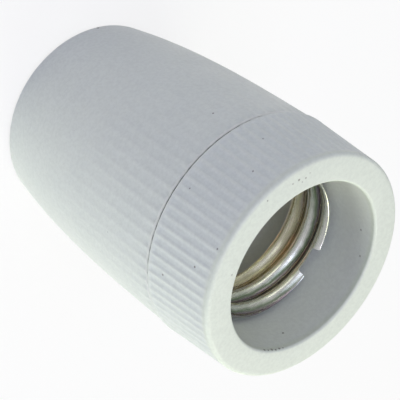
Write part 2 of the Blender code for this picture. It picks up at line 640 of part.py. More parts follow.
def make_clamp(name, place, washer_finish, screw_finish, parent):
    """Square clamping washer and the slotted cheese-head screw that goes through it."""
    turn = atan2(place[1], place[0])
    low = WASHER_Z - INSERT_TOP_Z
    square = box_form(WASHER_SIZE, WASHER_SIZE, 0.0, WASHER_THICKNESS)
    washer = make_object(
        f"{name}_washer", square, washer_finish, (place[0], place[1], low), turn, parent)
    drill(
        washer, f"{name}_washer_hole", washer_finish, parent, SCREW_HOLE_RADIUS,
        low - CUT_MARGIN, low + CUT_MARGIN, place)

    edge = TERMINAL_HEAD_CHAMFER
    reach = INSERT_Z + TERMINAL_SCREW_REACH - HEAD_TOP_Z
    outline = [(0.0, -TERMINAL_HEAD_HEIGHT), (TERMINAL_HEAD_RADIUS - edge, -TERMINAL_HEAD_HEIGHT)]
    outline += [(TERMINAL_HEAD_RADIUS, edge - TERMINAL_HEAD_HEIGHT), (TERMINAL_HEAD_RADIUS, 0.0)]
    outline += [(TERMINAL_SCREW_RADIUS, 0.0), (TERMINAL_SCREW_RADIUS, reach - edge)]
    outline += [(TERMINAL_SCREW_RADIUS - edge, reach), (0.0, reach)]
    where = (place[0], place[1], HEAD_TOP_Z - INSERT_TOP_Z)
    screw = make_object(
        f"{name}_screw", turned_form(outline, SMALL_STEPS), screw_finish, where, turn, parent)
    slot = box_form(
        3 * TERMINAL_HEAD_RADIUS, SLOT_WIDTH, -TERMINAL_HEAD_HEIGHT - CUT_MARGIN,
        -TERMINAL_HEAD_HEIGHT / 2)
    add_boolean(
        screw, make_object(f"{name}_slot", slot, screw_finish, where, turn, parent), "DIFFERENCE")


def make_bush(finish, parent):
    """Flanged bush with the bore for the pendant tube and a cross hole for the set screw."""
    edge = BUSH_CHAMFER
    low = COUNTERBORE_DEPTH - SEAT_GAP - BUSH_FLANGE_THICKNESS
    seat = low + BUSH_FLANGE_THICKNESS
    outline = [(BUSH_BORE_RADIUS + edge, low), (BUSH_FLANGE_RADIUS - edge, low)]
    outline += [(BUSH_FLANGE_RADIUS, low + edge), (BUSH_FLANGE_RADIUS, seat)]
    outline += [(BUSH_BODY_RADIUS, seat)]
    outline += [(BUSH_BODY_RADIUS, BUSH_TOP_Z - edge), (BUSH_BODY_RADIUS - edge, BUSH_TOP_Z)]
    outline += [(BUSH_BORE_RADIUS + edge, BUSH_TOP_Z), (BUSH_BORE_RADIUS, BUSH_TOP_Z - edge)]
    outline += [(BUSH_BORE_RADIUS, low + edge)]
    bush = make_object(
        "entry_bush", turned_form(outline, BUSH_STEPS, closed=True), finish, parent=parent)
    hole = cylinder_form(
        SET_SCREW_RADIUS + SEAT_GAP, 0.0, BUSH_BODY_RADIUS + CUT_MARGIN, SMALL_STEPS)
    bmesh.ops.rotate(hole, verts=hole.verts, matrix=Matrix.Rotation(pi / 2, 3, "Y"))
    add_boolean(
        bush, make_object("bush_cross_hole", hole, finish, (0.0, 0.0, SET_SCREW_Z), parent=parent),
        "DIFFERENCE")
    return bush


def make_ring(name, inner, outer, bottom, height, finish, parent, location=(0.0, 0.0)):
    """A flat washer."""
    outline = [(inner, 0.0), (outer, 0.0), (outer, height), (inner, height)]
    return make_object(
        name, turned_form(outline, BUSH_STEPS, closed=True), finish,
        (location[0], location[1], bottom), parent=parent)


def make_nut(finish, parent):
    """Hexagon nut on the bush."""
    nut = make_object(
        "bush_nut", cylinder_form(NUT_ACROSS_FLATS / sqrt(3), 0.0, NUT_HEIGHT, 6), finish,
        (0.0, 0.0, NUT_Z), parent=parent)
    drill(
        nut, "nut_hole", finish, parent, BUSH_BODY_RADIUS + SEAT_GAP, NUT_Z - CUT_MARGIN,
        NUT_TOP_Z + CUT_MARGIN, (0.0, 0.0))


def make_set_screw(finish, parent):
    """Slotted set screw, radial on the +X side, its tip level with the bush's bore."""
    form = cylinder_form(SET_SCREW_RADIUS, 0.0, SET_SCREW_LENGTH, SMALL_STEPS)
    bmesh.ops.rotate(form, verts=form.verts, matrix=Matrix.Rotation(pi / 2, 3, "Y"))
    start = (BUSH_BORE_RADIUS + SEAT_GAP, 0.0, SET_SCREW_Z)
    screw = make_object("tube_screw", form, finish, start, parent=parent)
    slot = box_form(SET_SCREW_RADIUS, 4 * SET_SCREW_RADIUS, -SLOT_WIDTH / 2, SLOT_WIDTH / 2)
    where = (start[0] + SET_SCREW_LENGTH, 0.0, SET_SCREW_Z)
    add_boolean(
        screw, make_object("tube_screw_slot", slot, finish, where, parent=parent), "DIFFERENCE")


def main():
    clear_scene()
    porcelain = make_material("glazed_porcelain", (0.62, 0.67, 0.65), 0.22, 0.0)
    bisque = make_material("unglazed_porcelain", (0.55, 0.57, 0.55), 0.6, 0.0)
    passivated = make_material("passivated_steel", (0.55, 0.50, 0.32), 0.25, 1.0)
    brass = make_material("brass", (0.66, 0.50, 0.22), 0.35, 1.0)
    bronze = make_material("spring_bronze", (0.62, 0.42, 0.24), 0.35, 1.0)
    zinc = make_material("zinc_plated_steel", (0.55, 0.56, 0.57), 0.35, 1.0)

    cap_group = make_empty("cap_group", (0.0, 0.0, 0.0))
    insert_group = make_empty("insert_group", (0.0, 0.0, INSERT_TOP_Z), cap_group)
    skirt_group = make_empty("skirt_group", (0.0, 0.0, SKIRT_Z - INSERT_TOP_Z), insert_group)

    make_cap(porcelain, cap_group)
    make_bush(zinc, cap_group)
    make_ring(
        "bush_washer", BUSH_BODY_RADIUS + SEAT_GAP, BUSH_WASHER_RADIUS, BUSH_WASHER_Z,
        BUSH_WASHER_THICKNESS, zinc, cap_group)
    make_nut(zinc, cap_group)
    make_set_screw(zinc, cap_group)

    make_insert(bisque, insert_group)
    make_shell(passivated, insert_group)
    make_contact(bronze, insert_group)
    foot_top = FOOT_Z + SHELL_THICKNESS
    plain_washer_z = INSERT_Z - SEAT_GAP - RIVET_WASHER_THICKNESS
    make_rivet(
        "centre_rivet", CENTRE_RIVET, FOOT_Z + CONTACT_THICKNESS, TERMINAL_Z, brass, insert_group)
    make_rivet("shell_rivet_neutral", NEUTRAL_RIVET, foot_top, TERMINAL_Z, brass, insert_group)
    make_rivet("shell_rivet_plain", PLAIN_RIVET, foot_top, plain_washer_z, brass, insert_group)
    make_ring(
        "shell_rivet_washer", RIVET_HOLE_RADIUS, RIVET_WASHER_RADIUS,
        plain_washer_z - INSERT_TOP_Z, RIVET_WASHER_THICKNESS, zinc, insert_group, PLAIN_RIVET)
    make_terminal("live", CENTRE_RIVET, LIVE_SCREW, brass, insert_group)
    make_terminal("neutral", NEUTRAL_RIVET, NEUTRAL_SCREW, brass, insert_group)
    make_clamp("live", LIVE_SCREW, zinc, zinc, insert_group)
    make_clamp("neutral", NEUTRAL_SCREW, zinc, zinc, insert_group)

    make_skirt(porcelain, skirt_group)


main()
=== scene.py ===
"""Looks of a ribbed porcelain lamp holder: porcelain, thread shell, contacts and stage.

The file is laid out as an add-on and is run as a script. Metres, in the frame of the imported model.
"""
from math import atan2, cos, hypot, pi, radians, sin, sqrt, tau

import bmesh
import bpy
from bpy.props import FloatProperty, FloatVectorProperty, IntProperty, PointerProperty
from mathutils import Matrix, Vector, noise


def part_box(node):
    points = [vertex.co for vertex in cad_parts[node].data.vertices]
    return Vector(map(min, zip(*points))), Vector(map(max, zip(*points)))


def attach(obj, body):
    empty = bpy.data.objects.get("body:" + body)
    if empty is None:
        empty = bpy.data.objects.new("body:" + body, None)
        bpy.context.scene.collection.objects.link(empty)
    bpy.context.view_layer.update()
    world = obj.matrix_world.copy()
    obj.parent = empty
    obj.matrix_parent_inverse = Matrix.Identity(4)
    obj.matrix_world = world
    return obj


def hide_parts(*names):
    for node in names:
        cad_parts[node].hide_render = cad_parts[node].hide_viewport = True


bl_info = {
    "name": "Porcelain Lamp Holder",
    "version": (1, 0, 0),
    "blender": (4, 5, 0),
    "location": "View3D > Sidebar > Lamp Holder",
    "description": "Porcelain, thread shell, contacts and stage of a ribbed lamp holder",
    "category": "Object",
}

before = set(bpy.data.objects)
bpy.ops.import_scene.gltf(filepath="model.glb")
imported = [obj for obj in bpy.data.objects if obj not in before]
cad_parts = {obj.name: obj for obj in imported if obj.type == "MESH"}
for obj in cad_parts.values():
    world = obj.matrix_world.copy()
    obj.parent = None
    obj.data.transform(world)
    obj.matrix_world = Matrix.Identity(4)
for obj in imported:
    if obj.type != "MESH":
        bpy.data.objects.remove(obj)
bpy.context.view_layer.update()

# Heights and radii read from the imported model
CAP_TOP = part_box("cap")[1].z
SKIRT_LOW, SKIRT_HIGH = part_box("skirt")[0].z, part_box("skirt")[1].z
SHELL_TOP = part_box("thread_shell")[1].z
FOOT_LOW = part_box("thread_shell")[0].z
INSERT_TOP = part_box("insert")[1].z

# Clearance between pieces that touch, and how far a cutting form stands past what it cuts
SEAT_GAP, CUT_MARGIN = 0.0003, 0.002
# Turns of the ridge on the neck
RIDGE_TURNS = 1.85
# Height of the finer rows at the seam, length of the fade of the skirt's ribs towards the lip,
# and how far the neck's form reaches into the skirt's
RIM_WIDTH, RIB_FADE, NECK_OVERLAP = 0.0009, 0.001, 0.001
# Length over which a cut corner of the strip runs back to its full width
NOTCH_END = 0.0003
# Steps of a turned form, and of one rib
FINE_STEPS, RIB_STEPS = 128, 10
# Starts of the patterns that wear the ribs unevenly
CAP_SEED, SKIRT_SEED = 1.5, 8.5
# Edges sharper than these stay sharp in the shading, or are rounded
SHARP_ANGLE, SOFTENED_ANGLE = radians(35), radians(50)
# Turns from +X of the insert's key, the strip's seam and the lamp thread's crest
KEY_TURN, SEAM_TURN, CREST_TURN = radians(225), radians(96), radians(116)
# Distances under the rim where the lip's creamier glaze starts and is full, width of the painted
# highlight along the cap's rim, and a distance that counts as none
LIP_GLAZE_START, LIP_GLAZE_FULL, HIGHLIGHT_WIDTH, SAME_PLACE = 0.0016, 0.0004, 0.0004, 1e-5
# Distances under the shell's front edge where its gold and its silver film start and are full
GOLD_START, GOLD_FULL, SILVER_START, SILVER_FULL = 0.0042, 0.0062, 0.0025, 0.0014


def length(name, value, description):
    """A length that a user would change."""
    return FloatProperty(
        name=name, description=description, default=value, min=0.0, precision=5, unit="LENGTH",
        subtype="DISTANCE")


def tint(name, value, description):
    """A colour that a user would change."""
    return FloatVectorProperty(
        name=name, description=description, default=value, min=0.0, max=1.0, size=3,
        subtype="COLOR")


def share(name, value, description):
    """A number from 0 to 1."""
    return FloatProperty(
        name=name, description=description, default=value, min=0.0, max=1.0, subtype="FACTOR")


def watts(name, value, description):
    """A lamp's power."""
    return FloatProperty(
        name=name, description=description, default=value, min=0.0, unit="POWER")


def count(name, value, description):
    """A number of like features."""
    return IntProperty(name=name, description=description, default=value, min=3)


class PorcelainSizes(bpy.types.PropertyGroup):
    """Sizes of the cap, the skirt and the insert."""
    cap_length: length("Cap length", CAP_TOP, "End face to the seam")
    cap_seam_radius: length("Cap seam radius", 0.0204, "Over the ribs at the seam")
    cap_taper: length("Cap taper", 0.0029, "How much the radius draws in towards the end")
    cap_corner: length("Cap corner", 0.0014, "Rounding of the end face")
    cap_ribs: count("Cap ribs", 62, "Ribs round the cap")
    cap_rib_depth: length("Cap rib depth", 0.00026, "Depth between the ribs at the seam")
    cap_rib_reach: length("Cap rib reach", 0.034, "How far the ribs run from the seam")
    cap_rib_flare: length("Rib flare", 0.0022, "Stretch before the seam where the ribs deepen")
    skirt_seam_radius: length("Skirt seam radius", 0.0206, "Over the ribs at the seam")
    skirt_taper: length("Skirt taper", 0.0009, "How much the radius draws in towards the mouth")
    skirt_ribs: count("Skirt ribs", 77, "Ribs round the skirt")
    skirt_rib_depth: length("Skirt rib depth", 0.00015, "Depth between the ribs")
    seam_edge: length("Seam edge", 0.00012, "Rounding of both edges at the seam")
    seam_slit: length("Seam slit", 0.00030, "Open line between the cap and the skirt")
    lip_radius: length("Lip rounding", 0.0008, "Outer rounding of the mouth")
    lip_band: length("Lip band", 0.0007, "Smooth band between the ribs' ends and the mouth")
    bore_radius: length("Bore radius", 0.0149, "Bore of the mouth")
    bore_lip: length("Bore rounding", 0.0005, "Inner rounding of the mouth")
    neck_bore: length("Neck bore radius", 0.0147, "Bore of the threaded neck")
    neck_root: length("Neck radius", 0.01645, "Root of the porcelain thread")
    neck_chamfer: length("Neck chamfer", 0.0005, "Broken edge at the neck's end")
    cap_bore: length("Cap bore radius", 0.01675, "Bore that takes the neck")
    chamber_radius: length("Chamber radius", 0.0152, "Wiring chamber in the cap")
    chamber_corner: length("Chamber corner", 0.004, "Rounding of the chamber's floor")
    cap_floor: length("Cap floor", 0.005, "Height of the chamber's floor")
    entry_hole: length("Entry hole radius", 0.0065, "Hole for the entry bush")
    flange_recess: length("Flange recess radius", 0.0091, "Recess for the bush's flange")
    flange_sink: length("Flange recess depth", 0.0018, "Depth of the recess")
    thread_pitch: length("Porcelain thread pitch", 0.004, "Travel of the skirt in one turn")
    thread_height: length("Porcelain thread height", 0.00075, "Height of the ridge on the neck")
    thread_foot: length("Porcelain thread foot", 0.0020, "Width of the ridge on the neck")
    thread_crest: length("Porcelain thread crest", 0.0010, "Width of the ridge's top")
    thread_start: length("Porcelain thread start", 0.0022, "Neck's end to the first ridge")
    groove_play: length("Groove play", 0.0007, "How much wider the groove is than the ridge")
    groove_relief: length("Groove relief", 0.00035, "How much deeper the groove is")
    insert_radius: length("Insert radius", 0.0164, "Outside of the insert")
    insert_thickness: length("Insert thickness", 0.008, "Underside to the face under the neck")
    insert_edge: length("Insert edge", 0.0005, "Rounding of the insert's edges")
    recess_radius: length("Recess radius", 0.0141, "Recess for the shell's feet")
    recess_depth: length("Recess depth", 0.0034, "Depth of the recess")
    pocket_radius: length("Screw pocket radius", 0.00195, "Pockets for the terminal screws")
    pocket_depth: length("Screw pocket depth", 0.0035, "Depth of the screw pockets")
    barrier_width: length("Barrier width", 0.0020, "Thickness of the terminals' barrier")
    barrier_height: length("Barrier height", 0.0025, "Height of the barrier")
    barrier_length: length("Barrier length", 0.0260, "Length of the barrier")
    key_width: length("Key width", 0.0036, "Width of the key that stops the insert turning")
    key_depth: length("Key depth", 0.0009, "How far the key stands into the slot")


class MetalSizes(bpy.types.PropertyGroup):
    """Sizes of the thread shell, the contacts and the entry bush."""
    lamp_pitch: length("Lamp thread pitch", 0.003629, "Seven turns to the inch")
    shell_width: length("Shell width", 0.0088, "Width of the rolled strip")
    shell_radius: length("Shell radius", 0.01278, "Mean inner radius of the rolled thread")
    shell_depth: length("Thread depth", 0.00115, "Crest to root of the rolled thread")
    shell_sheet: length("Sheet", 0.0004, "Thickness of the strip")
    seam_gap: length("Seam gap", 0.00001, "Gap between the strip's ends")
    notch_length: length("Notch length", 0.00245, "Cut corner at each side of the seam")
    notch_depth: length("Notch depth", 0.0011, "Depth of the cut corners")
    leg_width: length("Leg width", 0.0070, "Width of the two legs")
    leg_shoulder: length("Leg shoulder", 0.0012, "Rear edge to the legs' straight part")
    leg_bend: length("Leg bend", 0.0009, "Bend between a leg and its foot")
    foot_reach: length("Foot reach", 0.0028, "Rivet to the foot's round end")
    contact_sheet: length("Contact sheet", 0.0005, "Thickness of the centre contact")
    contact_width: length("Contact width", 0.0060, "Width of the centre contact")
    contact_rise: length("Contact rise", 0.0019, "Height of the contact's arm over its foot")
    contact_crown: length("Contact crown", 0.0005, "Height of the crown over the arm")
    contact_tail: length("Contact tail", 0.0029, "Reach of the foot on both sides of its rivet")
    contact_tip: length("Contact tip", 0.0036, "Reach of the arm past the axis")
    rivet_radius: length("Rivet radius", 0.0014, "Shank of the rivets")
    rivet_head: length("Rivet head", 0.0025, "Radius of the rivets' heads")
    rivet_height: length("Rivet height", 0.0010, "Height of the rivets' heads")
    plate_width: length("Terminal width", 0.0060, "Width of the terminal plates and their washers")
    screw_radius: length("Screw radius", 0.00165, "Thread of the terminal screws")
    screw_head: length("Screw head", 0.0029, "Radius of the terminal screws' heads")
    screw_height: length("Screw head height", 0.0021, "Height of the terminal screws' heads")
    screw_pitch: length("Screw pitch", 0.0006, "Thread of the terminal screws and the set screw")
    screw_slot: length("Slot", 0.0008, "Width of the screwdriver slots")
    bush_bore: length("Bush bore radius", 0.0045, "Core of the pendant thread")
    bush_body: length("Bush radius", 0.0062, "Outside of the bush")
    bush_edge: length("Bush edge", 0.0003, "Broken edges of the bush and its nut")
    bush_flange: length("Flange radius", 0.0088, "Flange in the cap's end")
    flange_sheet: length("Flange thickness", 0.0012, "Thickness of the flange")
    bush_pitch: length("Pendant thread pitch", 0.001, "Pitch of the threads on the bush")
    set_radius: length("Set screw radius", 0.0013, "Thread of the set screw")


class HolderFinishes(bpy.types.PropertyGroup):
    """Colours of the porcelain and the metals."""
    glaze: tint("Glaze", (0.81, 0.85, 0.795), "Glazed porcelain on the ribs")
    lip_glaze: tint("Lip glaze", (0.77, 0.82, 0.72), "Thinner, creamier glaze on the lip")
    # Valley colour: thicker glaze between the ribs and painted shade in their hollows
    valley: tint("Valleys", (0.70, 0.75, 0.735), "Thicker glaze between the ribs")
    bisque: tint("Bare porcelain", (0.66, 0.66, 0.61), "Unglazed porcelain of the insert")
    # Painted highlight: the pale band along the cap's rim at the seam
    rim_highlight: tint("Worn glaze", (0.88, 0.90, 0.87), "Pale worn glaze along the cap's rim")
    # Painted shade: the dark colour of the faces that meet in the slit between the cap and the skirt
    grime: tint("Grime", (0.16, 0.16, 0.15), "Grime in the line between the cap and the skirt")
    speck: tint("Specks", (0.16, 0.13, 0.11), "Iron specks and chips in the glaze")
    glaze_gloss: share("Glaze roughness", 0.45, "Roughness of the glaze")
    glaze_shine: share("Glaze shine", 0.27, "Strength of the glaze's reflections")
    # Share of the painted shade on the faces in the seam's slit
    seam_shadow: share("Seam grime", 0.72, "How much grime lies in the line at the seam")
    gold: tint("Gold", (0.74, 0.66, 0.42), "Yellow tone of the passivated strip")
    olive: tint("Olive", (0.20, 0.26, 0.16), "Green tone of the passivated strip")
    violet: tint("Violet", (0.30, 0.24, 0.30), "Violet tone of the passivated strip")
    silver: tint("Silver", (0.84, 0.85, 0.76), "Bare tone of the passivated strip")
    brass: tint("Brass", (0.78, 0.60, 0.30), "Terminals and rivets")
    bronze: tint("Spring bronze", (0.74, 0.50, 0.31), "Centre contact")
    zinc: tint("Zinc", (0.66, 0.67, 0.69), "Plated steel pieces")


class HolderStage(bpy.types.PropertyGroup):
    """Camera, lamps and floor."""
    lens: FloatProperty(
        name="Lens", description="Focal length in millimetres", default=126.0, min=1.0,
        unit="CAMERA")
    key_power: watts("Key", 2.3, "Large lamp behind the mouth's left")
    key_tint: tint("Key tint", (1.0, 1.0, 0.78), "Colour of the key")
    side_power: watts("Side", 1.8, "Large low lamp at the holder's +X side")
    side_tint: tint("Side tint", (0.93, 1.0, 0.94), "Colour of the side lamp")
    fill_power: watts("Fill", 0.84, "Large cool lamp at the camera's right")
    fill_tint: tint("Fill tint", (0.66, 0.74, 1.0), "Colour of the fill")
    front_power: watts("Front", 1.05, "Lamp over the camera's left")
    front_tint: tint("Front tint", (0.84, 0.78, 1.0), "Colour of the front lamp")
    back_power: watts("Back", 0.4, "Lamp behind the holder")
    back_tint: tint("Back tint", (1.0, 1.0, 0.90), "Colour of the back lamp")
    strip_power: watts("Strip", 0.22, "Long narrow lamp at the camera's right")
    strip_tint: tint("Strip tint", (1.0, 0.97, 0.88), "Colour of the strip")
    sky: tint("Sky", (0.145, 0.148, 0.185), "Light from all round")
    mirrored_sky: share("Mirrored sky", 0.3, "Share of the white backdrop that gloss shows")
    floor: tint("Floor", (0.90, 0.90, 0.90), "Floor under the holder")
    floor_glow: share("Floor glow", 0.82, "Share of plain white in the floor that the camera sees")


# Meshes

def smooth_step(low, high, value):
    """A soft step from 0 at low to 1 at high, in either direction."""
    part = min(1.0, max(0.0, (value - low) / (high - low)))
    return part * part * (3 - 2 * part)


def arc(centre_radius, centre_height, size, start, end, steps):
    """Points (radius, height) along a round corner, angles in degrees from the +radius side."""
    points = []
    for index in range(steps + 1):
        angle = radians(start + (end - start) * index / steps)
        points.append((centre_radius + size * cos(angle), centre_height + size * sin(angle)))
    return points


def grow_edges(form, edges):
    """Extrude edges and return the new vertices and edges."""
    grown = bmesh.ops.extrude_edge_only(form, edges=edges)["geom"]
    return (
        [item for item in grown if isinstance(item, bmesh.types.BMVert)],
        [item for item in grown if isinstance(item, bmesh.types.BMEdge)])


def turned_form(outline, steps=FINE_STEPS, closed=False):
    """Spin an outline of (radius, height) points round +Z."""
    form = bmesh.new()
    verts = [form.verts.new((radius, 0.0, height)) for radius, height in outline]
    edges = [form.edges.new(pair) for pair in zip(verts, verts[1:])]
    if closed:
        edges.append(form.edges.new((verts[-1], verts[0])))
    bmesh.ops.spin(
        form, geom=verts + edges, cent=(0.0, 0.0, 0.0), axis=(0.0, 0.0, 1.0),
        angle=tau, steps=steps, use_merge=True)
    bmesh.ops.remove_doubles(form, verts=form.verts, dist=1e-6)
    bmesh.ops.recalc_face_normals(form, faces=form.faces)
    return form


def round_bar(radius, bottom, top, centre=(0.0, 0.0), steps=48):
    """A round bar between two heights."""
    form = bmesh.new()
    bmesh.ops.create_cone(
        form, cap_ends=True, segments=steps, radius1=radius, radius2=radius, depth=top - bottom,
        matrix=Matrix.Translation((centre[0], centre[1], (bottom + top) / 2)))
    return form


def square_bar(size_x, size_y, bottom, top, centre=(0.0, 0.0), turn=0.0):
    """A square bar between two heights, turned round +Z."""
    form = bmesh.new()
    shape = Matrix.Diagonal((size_x, size_y, top - bottom, 1.0))
    place = Matrix.Translation((centre[0], centre[1], (bottom + top) / 2))
    bmesh.ops.create_cube(form, size=1.0, matrix=Matrix.Rotation(turn, 4, "Z") @ place @ shape)
    return form


def helical_form(section, start_angle, start, pitch, turns, steps_per_turn):
    """A closed (radius, height) section wound right-handed round +Z."""
    form = bmesh.new()
    verts = [form.verts.new((radius, 0.0, start + height)) for radius, height in section]
    face = form.faces.new(verts)
    steps = round(turns * steps_per_turn)
    bmesh.ops.spin(
        form, geom=[face], cent=(0.0, 0.0, 0.0), axis=(0.0, 0.0, 1.0),
        dvec=(0.0, 0.0, pitch * turns / steps), angle=tau * turns, steps=steps)
    bmesh.ops.holes_fill(form, edges=form.edges, sides=len(section))
    bmesh.ops.rotate(form, verts=form.verts, matrix=Matrix.Rotation(start_angle, 3, "Z"))
    bmesh.ops.recalc_face_normals(form, faces=form.faces)
    return form


def ridge_at(turn, height, ribs, seed):
    """Share of the rib depth that stands at an angle: narrow worn ridges, wide valleys."""
    angle = turn - pi / 2
    wear = noise.noise(Vector(((round(angle * ribs / tau) % ribs) * 2.7, height * 90, seed)))
    return cos(angle * ribs / 2) ** 4 * (0.86 + 0.28 * min(0.5, wear))


def ribbed_form(rows, ribs, seed):
    """Loft rings of (height, radius, depth)."""
    form = bmesh.new()
    circle = bmesh.ops.create_circle(
        form, cap_ends=True, segments=RIB_STEPS * ribs, radius=1.0)

    def set_ring(verts, row):
        height, radius, depth = row
        for vert in verts:
            ridge = ridge_at(atan2(vert.co.y, vert.co.x), height, ribs, seed)
            reach = (radius - depth * (1 - ridge)) / vert.co.xy.length
            vert.co = (vert.co.x * reach, vert.co.y * reach, height)

    set_ring(circle["verts"], rows[0])
    edges = list(form.edges)
    for row in rows[1:]:
        verts, edges = grow_edges(form, edges)
        set_ring(verts, row)
    bmesh.ops.edgeloop_fill(form, edges=edges)
    bmesh.ops.recalc_face_normals(form, faces=form.faces)
    return form


def new_mesh(name, form):
    """Turn a form into a mesh."""
    mesh = bpy.data.meshes.new(name)
    form.to_mesh(mesh)
    form.free()
    return mesh


def new_object(name, data):
    """Put a mesh, a lamp or a camera into the scene."""
    made = bpy.data.objects.new(name, data)
    bpy.context.scene.collection.objects.link(made)
    return made


def bake(item):
    """Apply an object's modifiers, return the mesh and remove the object."""
    graph = bpy.context.evaluated_depsgraph_get()
    mesh = bpy.data.meshes.new_from_object(item.evaluated_get(graph))
    bpy.data.objects.remove(item, do_unlink=True)
    return mesh


def carve_mesh(name, mesh, steps):
    """Join forms to a mesh or cut them from it, and return the finished mesh."""
    body = new_object(name, mesh)
    tools = []
    for operation, shape in steps:
        tool = new_object(f"{name}_tool", new_mesh(f"{name}_tool", shape))
        step = body.modifiers.new(tool.name, "BOOLEAN")
        step.operation = operation
        step.solver = "EXACT"
        step.object = tool
        tools.append(tool)
    made = bake(body)
    for tool in tools:
        bpy.data.objects.remove(tool, do_unlink=True)
    return made


def carve(name, form, steps):
    """Join forms to a body or cut them from it, and return the finished mesh."""
    return carve_mesh(name, new_mesh(name, form), steps)


def softened(name, form, width):
    """Round a form's sharp edges and return its mesh."""
    body = new_object(name, new_mesh(name, form))
    rim = body.modifiers.new("rim", "BEVEL")
    rim.width, rim.segments, rim.limit_method = width, 2, "ANGLE"
    rim.angle_limit = SOFTENED_ANGLE
    return bake(body)


def walled(name, form, thickness):
    """Give a sheet its thickness on its outer side and return the mesh."""
    sheet = new_object(name, new_mesh(name, form))
    wall = sheet.modifiers.new("wall", "SOLIDIFY")
    wall.thickness, wall.offset, wall.use_even_offset = thickness, 1.0, True
    return bake(sheet)


def move_form(form, place, turn=0.0):
    """Turn a form round +Z and move it."""
    bmesh.ops.transform(
        form, verts=form.verts,
        matrix=Matrix.Translation(place) @ Matrix.Rotation(turn, 4, "Z"))
    return form


def lay_form(form):
    """Turn a form that stands on +Z so that it points along +X."""
    bmesh.ops.rotate(form, verts=form.verts, matrix=Matrix.Rotation(pi / 2, 3, "Y"))
    return form


def thread_section(core, crest, pitch, foot, flat):
    """A fine thread's section; foot and flat are half its widths in pitches."""
    return [
        (core, -pitch * foot), (crest, -pitch * flat), (crest, pitch * flat),
        (core, pitch * foot)]


def thread_ridge(core, crest, pitch, bottom, top):
    """A fine right-handed ridge to join to a screw's core."""
    section = thread_section(core - pitch / 10, crest, pitch, 0.42, 0.08)
    return helical_form(section, 0.0, bottom, pitch, (top - bottom) / pitch, 32)


def node_centre(node):
    """Middle of a CAD node, seen from above."""
    low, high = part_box(node)
    return ((low.x + high.x) / 2, (low.y + high.y) / 2)


def node_heights(node):
    """Lowest and highest point of a CAD node."""
    low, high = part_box(node)
    return low.z, high.z


def node_radius(node):
    """Half the width of a CAD node along X."""
    low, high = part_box(node)
    return (high.x - low.x) / 2


def finish_piece(name, mesh, finish, slot, body, *nodes):
    """Shade a mesh, give it its finish and let it stand for its CAD nodes on a body."""
    mesh.name = name
    mesh.materials.clear()
    mesh.materials.append(bpy.data.materials[finish])
    mesh.shade_smooth()
    mesh.set_sharp_from_angle(angle=SHARP_ANGLE)
    made = new_object(name, mesh)
    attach(made, body)
    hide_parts(*nodes)
    return made


def mark(mesh, name, value_at):
    """Store a number for each vertex, worked out from its place."""
    layer = mesh.attributes.new(name, "FLOAT", "POINT")
    layer.data.foreach_set("value", [value_at(vert.co) for vert in mesh.vertices])


def flat_ring(node, inner, body):
    """A stamped washer with soft edges in place of a CAD node."""
    low, high = node_heights(node)
    outer, edge = node_radius(node), (high - low) / 4
    outline = arc(outer - edge, low + edge, edge, -90, 0, 3)
    outline += arc(outer - edge, high - edge, edge, 0, 90, 3)
    outline += arc(inner + edge, high - edge, edge, 90, 180, 3)
    outline += arc(inner + edge, low + edge, edge, 180, 270, 3)
    form = move_form(turned_form(outline, 72, closed=True), (*node_centre(node), 0.0))
    finish_piece(f"stamped_{node}", new_mesh(node, form), "zinc", "zinc_steel", body, node)


# Node helpers

def put(tree, kind, settings=None, **inputs):
    """Add a node; settings are its own values, inputs are links or default values by name."""
    node = tree.nodes.new(kind)
    for key, value in (settings or {}).items():
        setattr(node, key, value)
    for key, value in inputs.items():
        name = int(key[1:]) if key[0] == "_" else key.replace("_", " ")
        socket = node.inputs[name]
        if isinstance(value, bpy.types.NodeSocket):
            tree.links.new(value, socket)
        else:
            socket.default_value = value
    return node


def calculate(tree, operation, first, second=0.5, third=0.0, clamp=False):
    """A Math node's result."""
    return put(
        tree, "ShaderNodeMath", {"operation": operation, "use_clamp": clamp},
        _0=first, _1=second, _2=third).outputs[0]


def ease(tree, value, low, high, start=0.0, end=1.0):
    """Map a value smoothly from low..high to start..end."""
    return put(
        tree, "ShaderNodeMapRange", {"interpolation_type": "SMOOTHSTEP"},
        Value=value, From_Min=low, From_Max=high, To_Min=start, To_Max=end).outputs["Result"]


def blend_colour(tree, factor, first, second):
    """Mix two colours."""
    node = put(tree, "ShaderNodeMix", {"data_type": "RGBA"})
    for index, value in ((0, factor), (6, first), (7, second)):
        if isinstance(value, bpy.types.NodeSocket):
            tree.links.new(value, node.inputs[index])
        elif index == 0:
            node.inputs[0].default_value = value
        else:
            node.inputs[index].default_value = (*value[:3], 1.0)
    return node.outputs[2]


def new_effect(name, inputs, outputs):
    """An empty node group with named inputs (name, value) and outputs (name, kind)."""
    tree = bpy.data.node_groups.new(name, "ShaderNodeTree")
    for label, value in inputs:
        socket = tree.interface.new_socket(
            name=label, in_out="INPUT", socket_type="NodeSocketFloat")
        socket.default_value = value
    for label, kind in outputs:
        tree.interface.new_socket(name=label, in_out="OUTPUT", socket_type=kind)
    return tree, tree.nodes.new("NodeGroupInput").outputs, tree.nodes.new("NodeGroupOutput").inputs


def object_place(tree):
    """Object coordinates."""
    return put(tree, "ShaderNodeTexCoord").outputs["Object"]


def object_parts(tree):
    """Object coordinates as three numbers."""
    return put(tree, "ShaderNodeSeparateXYZ", Vector=object_place(tree)).outputs


def stored_value(tree, name):
    """A number that the mesh stores for each point."""
    return put(tree, "ShaderNodeAttribute", {"attribute_name": name}).outputs["Fac"]


def scale_colour(tree, colour, factor):
    """Make a colour darker or lighter."""
    return put(
        tree, "ShaderNodeVectorMath", {"operation": "SCALE"}, _0=colour, Scale=factor).outputs[0]


def noise_value(tree, place, scale, detail=2.0, roughness=0.5, distortion=0.0):
    """A noise texture's value; the scale is in waves a metre."""
    return put(
        tree, "ShaderNodeTexNoise", Vector=place, Scale=scale, Detail=detail,
        Roughness=roughness, Distortion=distortion).outputs[0]


